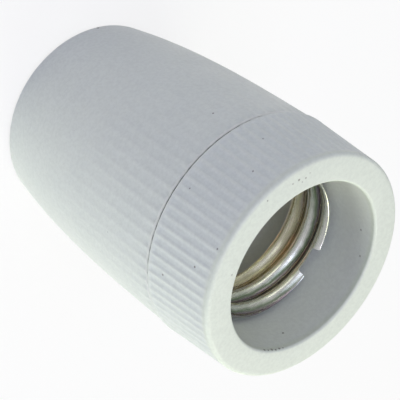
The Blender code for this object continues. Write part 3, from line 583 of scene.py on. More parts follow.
def make_cloud_effect():
    """Soft cloudy unevenness and a fine grain."""
    tree, given, result = new_effect(
        "clouds_and_grain", [("Cloud size", 0.006), ("Grain size", 0.0004)],
        [("Clouds", "NodeSocketFloat"), ("Grain", "NodeSocketFloat")])
    place = object_place(tree)
    cloud_scale = calculate(tree, "DIVIDE", 1.0, given["Cloud size"])
    grain_scale = calculate(tree, "DIVIDE", 1.0, given["Grain size"])
    tree.links.new(noise_value(tree, place, cloud_scale, 3.0), result["Clouds"])
    tree.links.new(noise_value(tree, place, grain_scale, 4.0, 0.6), result["Grain"])
    return tree


def make_speck_effect():
    """Sparse dark specks and the pin holes of fired glaze."""
    tree, given, result = new_effect(
        "specks", [("Spacing", 0.004), ("Size", 0.05), ("Share", 0.1)],
        [("Specks", "NodeSocketFloat")])
    place = object_place(tree)
    scale = calculate(tree, "DIVIDE", 1.0, given["Spacing"])
    cells = put(
        tree, "ShaderNodeTexVoronoi", {"feature": "F1"}, Vector=place, Scale=scale,
        Randomness=1.0)
    chance = put(tree, "ShaderNodeSeparateColor", Color=cells.outputs["Color"])
    chosen = calculate(tree, "LESS_THAN", chance.outputs[0], given["Share"])
    size = calculate(tree, "MULTIPLY", chance.outputs[1], given["Size"])
    inside = calculate(tree, "SUBTRACT", size, cells.outputs["Distance"])
    soft = calculate(tree, "MULTIPLY", inside, 40.0, clamp=True)
    tree.links.new(calculate(tree, "MULTIPLY", soft, chosen), result["Specks"])
    return tree


def make_rub_effect():
    """Fine lines and scratches of worked metal, along the height or round the axis."""
    tree, given, result = new_effect(
        "metal_rub", [("Line size", 0.0002), ("Stretch", 0.05)],
        [("Lines", "NodeSocketFloat"), ("Stain", "NodeSocketFloat")])
    place = object_place(tree)
    parts = put(tree, "ShaderNodeSeparateXYZ", Vector=place)
    flat = put(
        tree, "ShaderNodeCombineXYZ",
        X=calculate(tree, "MULTIPLY", parts.outputs[0], given["Stretch"]),
        Y=calculate(tree, "MULTIPLY", parts.outputs[1], given["Stretch"]), Z=parts.outputs[2])
    scale = calculate(tree, "DIVIDE", 1.0, given["Line size"])
    tree.links.new(noise_value(tree, flat.outputs[0], scale, 2.0, 0.6), result["Lines"])
    tree.links.new(noise_value(tree, place, 420.0, 3.0, 0.55, 0.4), result["Stain"])
    return tree


def new_material(name):
    """A material with its Principled shader."""
    made = bpy.data.materials.new(name)
    made.use_nodes = True
    tree = made.node_tree
    return made, tree, tree.nodes["Principled BSDF"]


def place_effect(tree, effect, **values):
    """Place a node group with its own values."""
    node = tree.nodes.new("ShaderNodeGroup")
    node.node_tree = effect
    for key, value in values.items():
        node.inputs[key.replace("_", " ")].default_value = value
    return node.outputs


def raise_surface(tree, shader, height, distance, strength):
    """Feed a height into the shader's normal through a Bump node."""
    bump = put(tree, "ShaderNodeBump", Height=height, Distance=distance, Strength=strength)
    tree.links.new(bump.outputs[0], shader.inputs["Normal"])


def marked_spots(tree, spots):
    """A mask of round specks at given places (x, y, z, radius)."""
    place = object_place(tree)
    ragged = noise_value(tree, place, 4500.0, 2.0)
    mask = None
    for *centre, radius in spots:
        away = put(
            tree, "ShaderNodeVectorMath", {"operation": "DISTANCE"}, _0=place,
            _1=centre).outputs["Value"]
        rough = calculate(tree, "MULTIPLY_ADD", ragged, radius, away)
        spot = ease(tree, rough, radius * 0.9, radius * 1.6, 1.0, 0.0)
        mask = spot if mask is None else calculate(tree, "MAXIMUM", mask, spot)
    return mask


def porcelain_material(name, finishes, effects, spots):
    """Soft-gloss glaze, darker between the ribs from thicker glaze and painted shade, with specks, a
    painted highlight on the cap's rim, painted shade in the seam's slit and a faint orange-peel
    surface.
    """
    made, tree, shader = new_material(name)
    clouds = place_effect(tree, effects["clouds"], Cloud_size=0.009, Grain_size=0.0006)
    valley = stored_value(tree, "valley")
    specks = place_effect(tree, effects["specks"], Spacing=0.0035, Size=0.09, Share=0.10)
    depth = calculate(tree, "MULTIPLY_ADD", clouds["Clouds"], 0.30, -0.15)
    # Painted shade between the ribs, with the thicker glaze there, grows with the depth between them
    shade = calculate(tree, "ADD", calculate(tree, "MULTIPLY", valley, 0.45), depth, clamp=True)
    colour = blend_colour(tree, shade, finishes.glaze, finishes.valley)
    height = object_parts(tree)[2]
    lip = ease(tree, height, SKIRT_HIGH - LIP_GLAZE_START, SKIRT_HIGH - LIP_GLAZE_FULL)
    colour = blend_colour(tree, lip, colour, finishes.lip_glaze)
    # Painted highlight: a pale, ragged band along the cap's rim at the seam
    lit = calculate(tree, "MULTIPLY_ADD", clouds["Grain"], 2 * HIGHLIGHT_WIDTH, height)
    lit = ease(tree, lit, CAP_TOP - HIGHLIGHT_WIDTH, CAP_TOP + HIGHLIGHT_WIDTH / 4, 0.0, 0.8)
    below = ease(tree, height, CAP_TOP, CAP_TOP + SAME_PLACE, 1.0, 0.0)
    lit = calculate(tree, "MULTIPLY", lit, below)
    colour = blend_colour(tree, lit, colour, finishes.rim_highlight)
    # Painted shade: the faces that meet in the slit at the seam are darkened
    joint = calculate(tree, "MULTIPLY", stored_value(tree, "joint"), finishes.seam_shadow)
    colour = blend_colour(tree, joint, colour, finishes.grime)
    colour = scale_colour(tree, colour, ease(tree, clouds["Grain"], 0.3, 0.7, 0.955, 1.03))
    dark = calculate(tree, "MULTIPLY", specks["Specks"], 0.45)
    near = calculate(tree, "MULTIPLY", marked_spots(tree, spots), 0.75)
    dark = calculate(tree, "MAXIMUM", dark, near)
    tree.links.new(blend_colour(tree, dark, colour, finishes.speck), shader.inputs["Base Color"])
    gloss = ease(
        tree, clouds["Clouds"], 0.25, 0.75, finishes.glaze_gloss - 0.06,
        finishes.glaze_gloss + 0.08)
    tree.links.new(gloss, shader.inputs["Roughness"])
    shader.inputs["Specular IOR Level"].default_value = finishes.glaze_shine
    bumps = calculate(
        tree, "SUBTRACT", calculate(tree, "MULTIPLY", clouds["Grain"], 0.5), dark)
    raise_surface(tree, shader, bumps, 0.00004, 0.35)
    return made


def bisque_material(name, finishes, effects):
    """Unglazed porcelain: matt, a little yellow, with pores."""
    made, tree, shader = new_material(name)
    clouds = place_effect(tree, effects["clouds"], Cloud_size=0.004, Grain_size=0.0003)
    specks = place_effect(tree, effects["specks"], Spacing=0.0016, Size=0.12, Share=0.2)
    tone = ease(tree, clouds["Clouds"], 0.3, 0.7, 0.92, 1.04)
    colour = scale_colour(tree, tuple(finishes.bisque), tone)
    dark = calculate(tree, "MULTIPLY", specks["Specks"], 0.5)
    tree.links.new(blend_colour(tree, dark, colour, finishes.speck), shader.inputs["Base Color"])
    tree.links.new(ease(tree, clouds["Grain"], 0.3, 0.7, 0.68, 0.86), shader.inputs["Roughness"])
    raise_surface(tree, shader, clouds["Grain"], 0.00006, 0.6)
    return made


def passivated_material(name, finishes, effects):
    """Yellow-passivated steel whose thin film turns gold, olive, violet and silver."""
    made, tree, shader = new_material(name)
    rub = place_effect(tree, effects["rub"], Line_size=0.00016, Stretch=0.04)
    slow = noise_value(tree, object_place(tree), 130.0, 1.0)
    drift = calculate(tree, "MULTIPLY_ADD", slow, 0.36, -0.18)
    mottle = calculate(tree, "MULTIPLY_ADD", rub["Stain"], 0.16, -0.08)
    film = calculate(tree, "ADD", stored_value(tree, "roll"), drift)
    film = calculate(tree, "ADD", film, mottle)
    ramp = put(tree, "ShaderNodeValToRGB", Fac=film)
    bands = ramp.color_ramp
    stops = (
        (0.02, finishes.violet), (0.14, finishes.olive), (0.34, finishes.gold),
        (0.48, finishes.silver), (0.66, finishes.silver), (0.80, finishes.olive),
        (0.92, finishes.violet))
    for place, colour in stops[1:-1]:
        bands.elements.new(place).color = (*colour, 1.0)
    bands.elements[0].position, bands.elements[-1].position = stops[0][0], stops[-1][0]
    bands.elements[0].color = (*stops[0][1], 1.0)
    bands.elements[-1].color = (*stops[-1][1], 1.0)
    sideways, _, height = object_parts(tree)
    deep = calculate(tree, "MULTIPLY_ADD", slow, 0.002, height)
    deep = ease(tree, deep, SHELL_TOP - GOLD_FULL, SHELL_TOP - GOLD_START, 0.6, 0.0)
    film_colour = blend_colour(tree, deep, ramp.outputs["Color"], finishes.gold)
    rim = calculate(tree, "MULTIPLY_ADD", slow, 0.0008, height)
    rim = ease(tree, rim, SHELL_TOP - SILVER_START, SHELL_TOP - SILVER_FULL, 0.0, 0.85)
    far = ease(tree, sideways, -0.002, 0.006, 1.0, 0.1)
    film_colour = blend_colour(
        tree, calculate(tree, "MULTIPLY", rim, far), film_colour, finishes.silver)
    tree.links.new(film_colour, shader.inputs["Base Color"])
    shader.inputs["Metallic"].default_value = 1.0
    tree.links.new(ease(tree, rub["Lines"], 0.3, 0.7, 0.20, 0.30), shader.inputs["Roughness"])
    raise_surface(tree, shader, rub["Lines"], 0.00001, 0.3)
    return made


def metal_material(name, colour, effects, roughness, stain_colour, stain, line_size):
    """Worked metal with fine lines, a soft stain and an even gloss."""
    made, tree, shader = new_material(name)
    rub = place_effect(tree, effects["rub"], Line_size=line_size, Stretch=0.06)
    spread = ease(tree, rub["Stain"], 0.42, 0.72, 0.0, stain)
    base = blend_colour(tree, spread, colour, stain_colour)
    tone = ease(tree, rub["Lines"], 0.3, 0.7, 0.93, 1.04)
    tree.links.new(scale_colour(tree, base, tone), shader.inputs["Base Color"])
    shader.inputs["Metallic"].default_value = 1.0
    gloss = ease(tree, rub["Lines"], 0.3, 0.7, roughness - 0.05, roughness + 0.1)
    tree.links.new(gloss, shader.inputs["Roughness"])
    raise_surface(tree, shader, rub["Lines"], 0.00001, 0.4)
    return made


# Cap and skirt

def cap_radius(sizes, height):
    """The cap's outer radius over its ribs: nearly straight at the seam, drawn in at the end."""
    part = (sizes.cap_length - height) / sizes.cap_length
    return sizes.cap_seam_radius - sizes.cap_taper * part ** 3


def cap_depth(sizes, height):
    """Depth between the cap's ribs: faint along the side, deeper before the seam."""
    fade = smooth_step(sizes.cap_length - sizes.cap_rib_reach, sizes.cap_length, height)
    flare = smooth_step(sizes.cap_length - sizes.cap_rib_flare, sizes.cap_length, height)
    rim = smooth_step(sizes.cap_length - RIM_WIDTH * 0.3, sizes.cap_length - RIM_WIDTH, height)
    return sizes.cap_rib_depth * (0.3 * fade + 0.7 * flare) * (0.35 + 0.65 * rim)


def skirt_radius(sizes, height):
    """The skirt's outer radius over its ribs at a height over the seam."""
    return sizes.skirt_seam_radius - sizes.skirt_taper * height / skirt_length(sizes)


def skirt_length(sizes):
    """Seam to mouth."""
    return SKIRT_HIGH - sizes.cap_length - SEAT_GAP


# Angle from +X in degrees, height and size in millimetres of specks on the outside and in the bore
CAP_SPECKS = ((-123.1, 39.29, 0.19), (-137.4, 1.32, 0.34), (-48.0, 34.1, 0.10))
SKIRT_SPECKS = (
    (-88.7, 47.2, 0.14), (-48.2, 48.35, 0.24), (-74.4, 57.10, 0.19), (-61.5, 54.37, 0.20),
    (-126.7, 49.66, 0.17), (-110.6, 53.80, 0.17), (133.8, 55.47, 0.19), (117.2, 56.60, 0.19),
    (44.3, 55.07, 0.24), (17.0, 58.15, 0.30), (20.5, 58.20, 0.20), (24.0, 58.10, 0.32),
    (27.0, 58.25, 0.24), (30.5, 58.15, 0.28), (33.5, 58.20, 0.18))
# Angle from +X in degrees, distance from the axis and size in millimetres of specks on the rim
RIM_SPECKS = (
    (-124.0, 17.72, 0.24), (-120.1, 17.71, 0.15), (-128.4, 17.36, 0.18), (-126.0, 17.0, 0.12),
    (-104.6, 18.5, 0.17), (-131.0, 17.9, 0.12))


def place_spots(specks, radius_at):
    """Places and radii of specks given by angle, height and size."""
    spots = []
    for angle, height, size in specks:
        turn = radians(angle)
        reach = radius_at(turn, height / 1000)
        spots.append((reach * cos(turn), reach * sin(turn), height / 1000, size / 1000))
    return spots


def cap_spots(sizes):
    """Places of the cap's specks."""
    def surface(turn, height):
        valley = 1 - ridge_at(turn, height, sizes.cap_ribs, CAP_SEED)
        return cap_radius(sizes, height) - cap_depth(sizes, height) * valley

    return place_spots(CAP_SPECKS, surface)


def skirt_spots(sizes):
    """Places of the specks on the skirt's outside, on its rim and in its bore."""
    def surface(turn, height):
        if turn > 0:
            return sizes.bore_radius
        valley = 1 - ridge_at(turn, height, sizes.skirt_ribs, SKIRT_SEED)
        outside = skirt_radius(sizes, height - sizes.cap_length - SEAT_GAP)
        return outside - sizes.skirt_rib_depth * valley

    spots = place_spots(SKIRT_SPECKS, surface)
    for angle, reach, size in RIM_SPECKS:
        turn = radians(angle)
        spots.append((
            reach / 1000 * cos(turn), reach / 1000 * sin(turn), SKIRT_HIGH, size / 1000))
    return spots


def valley_share(away, depth):
    """How deep a point lies between the ribs, 0 away from them and 1 at the bottom."""
    return min(1.0, away / depth) if 0 < away < 2 * depth else 0.0


def porcelain_thread(sizes, inner, outer, play, lead, turns):
    """The coarse thread's ridge or its wider groove; lead is its start in turns."""
    base = sizes.thread_foot + play + sizes.thread_height
    crest = sizes.thread_crest + play
    section = [(inner, -base / 2), (outer, -crest / 2), (outer, crest / 2), (inner, base / 2)]
    start = SKIRT_LOW + sizes.thread_start + lead * sizes.thread_pitch
    return helical_form(section, tau * lead, start, sizes.thread_pitch, turns, 72)


class LAMPHOLDER_OT_cap(bpy.types.Operator):
    """Model the cap: fading ribs outside, wiring chamber, coarse thread and key inside"""
    bl_idname = "lampholder.cap"
    bl_label = "Cap"

    def execute(self, context):
        sizes = context.scene.holder_porcelain
        top, edge = sizes.cap_length, sizes.seam_edge
        corner = sizes.cap_corner
        foot = cap_radius(sizes, corner) - corner
        rows = [(height, radius, 0.0) for radius, height in arc(foot, corner, corner, -90, 0, 7)]
        low, bands, rim_bands = top - RIM_WIDTH, 44, 5
        heights = [corner + (low - corner) * index / bands for index in range(1, bands)]
        heights += [
            low + (RIM_WIDTH - edge) * index / rim_bands for index in range(rim_bands + 1)]
        for height in heights:
            rows.append((height, cap_radius(sizes, height), cap_depth(sizes, height)))
        rim = cap_radius(sizes, top) - edge
        for radius, height in arc(rim, top - edge, edge, 0, 90, 3)[1:]:
            rows.append((height, radius, cap_depth(sizes, top) * (radius - rim + edge) / edge / 2))

        shoulder = INSERT_TOP - sizes.insert_thickness - SEAT_GAP
        recess, sink = sizes.flange_recess, sizes.flange_sink
        hole, floor = sizes.entry_hole, sizes.cap_floor
        hollow = [(0.0, -CUT_MARGIN), (recess, -CUT_MARGIN), (recess, sink), (hole, sink)]
        hollow += [(hole, floor)]
        hollow += arc(
            sizes.chamber_radius - sizes.chamber_corner, floor + sizes.chamber_corner,
            sizes.chamber_corner, -90, 0, 10)
        hollow += [(sizes.chamber_radius, shoulder), (sizes.cap_bore, shoulder)]
        hollow += [(sizes.cap_bore, top - edge), (sizes.cap_bore + 2 * edge, top + edge)]
        hollow += [(sizes.cap_bore + 2 * edge, top + CUT_MARGIN), (0.0, top + CUT_MARGIN)]

        lead, spare = 0.1, 0.5
        start = SKIRT_LOW + sizes.thread_start
        turns = (top + CUT_MARGIN - start) / sizes.thread_pitch + lead + spare
        groove = porcelain_thread(
            sizes, sizes.cap_bore - sizes.thread_height,
            sizes.neck_root + sizes.thread_height + sizes.groove_relief, sizes.groove_play, -lead,
            turns)
        key = square_bar(
            2 * sizes.key_depth, sizes.key_width, shoulder - sizes.key_depth, INSERT_TOP,
            (sizes.cap_bore, 0.0), KEY_TURN)
        mesh = carve("ribbed_cap", ribbed_form(rows, sizes.cap_ribs, CAP_SEED), [
            ("DIFFERENCE", turned_form(hollow)), ("DIFFERENCE", groove), ("UNION", key)])

        def valley(place):
            away = cap_radius(sizes, place.z) - hypot(place.x, place.y)
            return valley_share(away, sizes.cap_rib_depth)

        # The valley mark sets how much painted shade and thicker glaze lie between the ribs
        mark(mesh, "valley", valley)
        # The joint mark carries the painted shade of the seam's slit into the finish
        mark(mesh, "joint", lambda place: float(place.z > top - SAME_PLACE))
        finish_piece(
            "ribbed_cap", mesh, "glazed cap", "glazed_porcelain", "cap_body",
            "cap")
        return {"FINISHED"}


class LAMPHOLDER_OT_skirt(bpy.types.Operator):
    """Model the skirt: ribs, smooth lip, bore and the neck with its coarse thread"""
    bl_idname = "lampholder.skirt"
    bl_label = "Skirt"

    def execute(self, context):
        sizes = context.scene.holder_porcelain
        low = sizes.cap_length + sizes.seam_slit
        tall = skirt_length(sizes)
        edge, lip = sizes.seam_edge, sizes.lip_radius
        seam = sizes.cap_length + SEAT_GAP
        depth, edge_share = sizes.skirt_rib_depth, 0.15
        rows = []
        for radius, height in arc(sizes.skirt_seam_radius - edge, low + edge, edge, -90, 0, 3):
            rows.append((height, radius, depth * edge_share))
        bands, rim_bands = 22, 4
        for index in range(1, rim_bands + 1):
            height = edge + (RIM_WIDTH - edge) * index / rim_bands
            rise = smooth_step(RIM_WIDTH * 0.3, RIM_WIDTH, height)
            part = edge_share + (1 - edge_share) * rise
            rows.append((seam + height, skirt_radius(sizes, height), depth * part))
        ribs_end = tall - sizes.lip_band
        for index in range(1, bands + 1):
            height = RIM_WIDTH + (tall - lip - RIM_WIDTH) * index / bands
            fade = 1 - smooth_step(ribs_end - RIB_FADE, ribs_end, height)
            rows.append((seam + height, skirt_radius(sizes, height), depth * fade))
        centre = skirt_radius(sizes, tall - lip) - lip
        for radius, height in arc(centre, SKIRT_HIGH - lip, lip, 0, 90, 9)[1:]:
            rows.append((height, radius, 0.0))

        neck_top, root, chamfer = seam + NECK_OVERLAP, sizes.neck_root, sizes.neck_chamfer
        neck = [(0.0, SKIRT_LOW), (root - chamfer, SKIRT_LOW), (root, SKIRT_LOW + chamfer)]
        neck += [(root, neck_top), (0.0, neck_top)]
        ridge = porcelain_thread(
            sizes, root - sizes.thread_height, root + sizes.thread_height, 0.0, 0.0, RIDGE_TURNS)

        bore = [(0.0, SKIRT_LOW - CUT_MARGIN), (sizes.neck_bore, SKIRT_LOW - CUT_MARGIN)]
        bore += [(sizes.neck_bore, seam)]
        bore += [(sizes.bore_radius, seam + sizes.bore_radius - sizes.neck_bore)]
        round_in = sizes.bore_radius + sizes.bore_lip
        bore += arc(round_in, SKIRT_HIGH - sizes.bore_lip, sizes.bore_lip, 180, 90, 8)
        bore += [(round_in, SKIRT_HIGH + CUT_MARGIN), (0.0, SKIRT_HIGH + CUT_MARGIN)]
        mesh = carve("ribbed_skirt", ribbed_form(rows, sizes.skirt_ribs, SKIRT_SEED), [
            ("UNION", turned_form(neck)), ("UNION", ridge), ("DIFFERENCE", turned_form(bore))])

        def valley(place):
            if place.z < low or place.z > SKIRT_HIGH - lip:
                return 0.0
            away = skirt_radius(sizes, place.z - seam) - hypot(place.x, place.y)
            return valley_share(away, depth)

        # The valley mark sets how much painted shade and thicker glaze lie between the ribs
        mark(mesh, "valley", valley)
        # The joint mark carries the painted shade of the seam's slit into the finish
        mark(mesh, "joint", lambda place: float(abs(place.z - low) < SAME_PLACE))
        finish_piece(
            "ribbed_skirt", mesh, "glazed skirt", "glazed_porcelain",
            "skirt_body", "skirt")
        return {"FINISHED"}


def shell_phase(sizes, angle, height):
    """Place along the rolled thread's profile, 0 at a crest away from the axis."""
    return tau * height / sizes.lamp_pitch - angle + CREST_TURN


def shell_reach(sizes, angle, height):
    """Inner radius of the rolled lamp thread."""
    return sizes.shell_radius + sizes.shell_depth / 2 * cos(shell_phase(sizes, angle, height))


def grow_leg(form, sizes, side, rear, foot_top, rivet_distance):
    """Draw a leg down from the shell's rear edge, bend it and give its foot a round end."""
    leg = sizes.shell_radius + sizes.shell_depth / 2
    half = sizes.leg_width / 2
    edges = [
        edge for edge in form.edges
        if all(abs(vert.co.z - rear) < 1e-7 for vert in edge.verts)
        and sum(vert.co.x for vert in edge.verts) * side > 0
        and abs(sum(vert.co.y for vert in edge.verts)) < sizes.leg_width]

    def grow(rim, height, out_at):
        verts, rim = grow_edges(form, rim)
        low, high = min(vert.co.y for vert in verts), max(vert.co.y for vert in verts)
        for vert in verts:
            across = ((vert.co.y - low) / (high - low) - 0.5) * sizes.leg_width
            vert.co = (side * out_at(across), across, height)
        return rim

    def round_wall(across, out=0.0):
        return sqrt(leg ** 2 - across ** 2) + out

    bend, shoulder, end_curve = sizes.leg_bend, rear - sizes.leg_shoulder, 0.42
    edges = grow(edges, shoulder, round_wall)
    edges = grow(edges, (shoulder + foot_top) / 2, round_wall)
    for out, down in arc(-bend, bend, bend, 0, -90, 6):
        edges = grow(edges, foot_top + down, lambda across, out=out: round_wall(across, out))
    edges = grow(edges, foot_top, lambda across: rivet_distance)
    for part in (0.35, 0.65, 0.85, 0.96, 1.0):
        edges = grow(edges, foot_top, lambda across, part=part: (
            rivet_distance - sizes.foot_reach * part * (1 - end_curve * (across / half) ** 2)))


class LAMPHOLDER_OT_thread_shell(bpy.types.Operator):
    """Roll the strip with the lamp thread, its open seam, its legs and their feet"""
    bl_idname = "lampholder.thread_shell"
    bl_label = "Thread Shell"

    def execute(self, context):
        sizes = context.scene.holder_metal
        front, rear = SHELL_TOP, SHELL_TOP - sizes.shell_width
        half_gap = sizes.seam_gap / 2 / sizes.shell_radius
        notch = sizes.notch_length / sizes.shell_radius
        bands = 56
        ramp = NOTCH_END / sizes.shell_radius

        def spaced(start, end, parts):
            return [start + (end - start) * index / parts for index in range(parts)]

        near = spaced(half_gap, notch - ramp, 10) + spaced(notch - ramp, notch, 6)
        turns = near + spaced(notch, tau - notch, 200) + [tau - notch]
        turns += [tau - turn for turn in reversed(near)]

        def place_column(verts, turn):
            away = min(turn, tau - turn) * sizes.shell_radius
            cut = 1 - smooth_step(sizes.notch_length - NOTCH_END, sizes.notch_length, away)
            top = front - sizes.notch_depth * cut
            angle = SEAM_TURN + turn
            for index, vert in enumerate(sorted(verts, key=lambda item: item.co.z)):
                height = rear + (top - rear) * index / bands
                reach = shell_reach(sizes, angle, height)
                vert.co = (reach * cos(angle), reach * sin(angle), height)

        form = bmesh.new()
        verts = [form.verts.new((0.0, 0.0, index)) for index in range(bands + 1)]
        edges = [form.edges.new(pair) for pair in zip(verts, verts[1:])]
        place_column(verts, turns[0])
        for turn in turns[1:]:
            verts, edges = grow_edges(form, edges)
            place_column(verts, turn)
        foot_top = FOOT_LOW + sizes.shell_sheet
        rivets = [node_centre("shell_rivet_plain"), node_centre("shell_rivet_neutral")]
        for side, rivet in zip((1, -1), rivets):
            grow_leg(form, sizes, side, rear, foot_top, abs(rivet[0]))
        bmesh.ops.recalc_face_normals(form, faces=form.faces)
        form.normal_update()
        if sum(face.normal.xy.dot(face.calc_center_median().xy) for face in form.faces) < 0:
            bmesh.ops.reverse_faces(form, faces=form.faces)
        mesh = walled("strip", form, sizes.shell_sheet)
        form = bmesh.new()
        form.from_mesh(mesh)

        def from_seam(place):
            return abs(atan2(place.y, place.x) - SEAM_TURN) * sizes.shell_radius

        rim = [
            edge for edge in form.edges
            if edge.calc_face_angle(0.0) > radians(60)
            and max(from_seam(vert.co) for vert in edge.verts) > 4 * sizes.seam_gap]
        bmesh.ops.bevel(
            form, geom=rim, affect="EDGES", offset=sizes.shell_sheet / 6, segments=2, profile=0.5,
            material=-1)
        form.to_mesh(mesh)
        form.free()
        holes = [("DIFFERENCE", round_bar(
            sizes.rivet_radius + SEAT_GAP, FOOT_LOW - CUT_MARGIN, FOOT_LOW + CUT_MARGIN, place))
            for place in rivets]
        mesh = carve_mesh("rolled_shell", mesh, holes)

        def roll(place):
            return shell_phase(sizes, atan2(place.y, place.x), place.z) / tau % 1.0

        mark(mesh, "roll", roll)
        finish_piece(
            "rolled_shell", mesh, "passivated steel", "passivated_steel",
            "insert_body", "thread_shell")
        return {"FINISHED"}


class LAMPHOLDER_OT_insert(bpy.types.Operator):
    """Model the bare insert: recess, rivet holes, screw pockets, barrier and key slot"""
    bl_idname = "lampholder.insert"
    bl_label = "Insert"

    def execute(self, context):
        sizes = context.scene.holder_porcelain
        metal = context.scene.holder_metal
        top, bottom = INSERT_TOP, INSERT_TOP - sizes.insert_thickness
        radius, edge = sizes.insert_radius, sizes.insert_edge
        recess, floor = sizes.recess_radius, INSERT_TOP - sizes.recess_depth
        outline = [(0.0, bottom)]
        outline += arc(radius - edge, bottom + edge, edge, -90, 0, 4)
        outline += arc(radius - edge, top - edge, edge, 0, 90, 4)
        outline += arc(recess + edge / 2, top - edge / 2, edge / 2, 90, 180, 4)
        outline += arc(recess - edge, floor + edge, edge, 0, -90, 4)
        outline += [(0.0, floor)]
        barrier = square_bar(
            sizes.barrier_length, sizes.barrier_width, bottom - sizes.barrier_height,
            bottom + sizes.barrier_width, turn=pi / 4)
        bmesh.ops.bevel(
            barrier, geom=barrier.edges, affect="EDGES", offset=sizes.barrier_width / 5,
            segments=3, profile=0.5, material=-1)
        steps = [("UNION", barrier)]
        for node in ("centre_rivet", "shell_rivet_neutral", "shell_rivet_plain"):
            steps.append(("DIFFERENCE", round_bar(
                metal.rivet_radius + SEAT_GAP, bottom - CUT_MARGIN, top + CUT_MARGIN,
                node_centre(node))))
        for node in ("live_screw", "neutral_screw"):
            steps.append(("DIFFERENCE", round_bar(
                sizes.pocket_radius, bottom - CUT_MARGIN, bottom + sizes.pocket_depth,
                node_centre(node))))
        steps.append(("DIFFERENCE", square_bar(
            2 * (sizes.key_depth + SEAT_GAP), sizes.key_width + 2 * SEAT_GAP,
            bottom - CUT_MARGIN, top + CUT_MARGIN, (sizes.cap_bore, 0.0), KEY_TURN)))
        mesh = carve("stone_insert", turned_form(outline), steps)
        finish_piece(
            "stone_insert", mesh, "bare porcelain", "bare_porcelain",
            "insert_body", "insert")
        return {"FINISHED"}


class LAMPHOLDER_OT_contact(bpy.types.Operator):
    """Bend the spring contact from its round foot over the rivet to the crown on the axis"""
    bl_idname = "lampholder.contact"
    bl_label = "Centre Contact"

    def execute(self, context):
        sizes = context.scene.holder_metal
        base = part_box("centre_contact")[0].z
        rivet = node_centre("centre_rivet")
        half, crown = sizes.contact_width / 2, sizes.contact_tip / 2
        back, front = rivet[1] - sizes.contact_tail, sizes.contact_tip
        bend = rivet[1] + sizes.contact_tail

        def width_at(along):
            tail = min(half, along - back + half / 10)
            tip = min(half / 2, front - along)
            return (
                sqrt(half ** 2 - (half - tail) ** 2)
                - (half / 2 - sqrt((half / 2) ** 2 - (half / 2 - tip) ** 2)))

        def height_at(across, along):
            rise = sizes.contact_rise * smooth_step(bend, -crown, along)
            dome = 1 - smooth_step(0.2 * crown, crown, hypot(across, along))
            droop = smooth_step(crown / 2, front, along)
            return base + rise + sizes.contact_crown * (dome - droop)

        stations, columns = 64, 16
        form = bmesh.new()
        verts = [form.verts.new((index, 0.0, 0.0)) for index in range(columns + 1)]
        edges = [form.edges.new(pair) for pair in zip(verts, verts[1:])]
        for station in range(stations + 1):
            along = back + (front - back) * (0.5 - 0.5 * cos(pi * station / stations))
            if station:
                verts, edges = grow_edges(form, edges)
            for index, vert in enumerate(sorted(verts, key=lambda item: item.co.x)):
                across = width_at(along) * (2 * index / columns - 1)
                vert.co = (across, along, height_at(across, along))
        bmesh.ops.recalc_face_normals(form, faces=form.faces)
        form.normal_update()
        if sum(face.normal.z for face in form.faces) < 0:
            bmesh.ops.reverse_faces(form, faces=form.faces)
        hole = round_bar(
            sizes.rivet_radius + SEAT_GAP, base - CUT_MARGIN, base + CUT_MARGIN, rivet)
        mesh = walled("spring", form, sizes.contact_sheet)
        mesh = carve_mesh("spring_contact", mesh, [("DIFFERENCE", hole)])
        finish_piece(
            "spring_contact", mesh, "spring bronze", "spring_bronze",
            "insert_body", "centre_contact")
        return {"FINISHED"}


class LAMPHOLDER_OT_rivets(bpy.types.Operator):
    """Turn the three rivets and the washer under one of them"""
    bl_idname = "lampholder.rivets"
    bl_label = "Rivets"

    def execute(self, context):
        sizes = context.scene.holder_metal
        head, height, shank = sizes.rivet_head, sizes.rivet_height, sizes.rivet_radius
        for node in ("centre_rivet", "shell_rivet_neutral", "shell_rivet_plain"):
            low, high = node_heights(node)
            bottom, top = low + height, high - height
            outline = [(0.0, low + height / 4), (shank * 0.6, low + height / 5)]
            outline += [(shank * 0.8, low)]
            outline += arc(head - height / 2, low + height / 2, height / 2, -90, 0, 4)
            outline += [(head, bottom), (shank, bottom), (shank, top), (head, top)]
            for index in range(1, 10):
                slope = pi / 2 * index / 10
                outline.append((head * cos(slope), top + height * sin(slope)))
            outline.append((0.0, high))
            form = move_form(turned_form(outline, 48), (*node_centre(node), 0.0))
            finish_piece(
                f"turned_{node}", new_mesh(node, form), "brass", "brass", "insert_body", node)
        flat_ring("shell_rivet_washer", shank + SEAT_GAP, "insert_body")
        return {"FINISHED"}


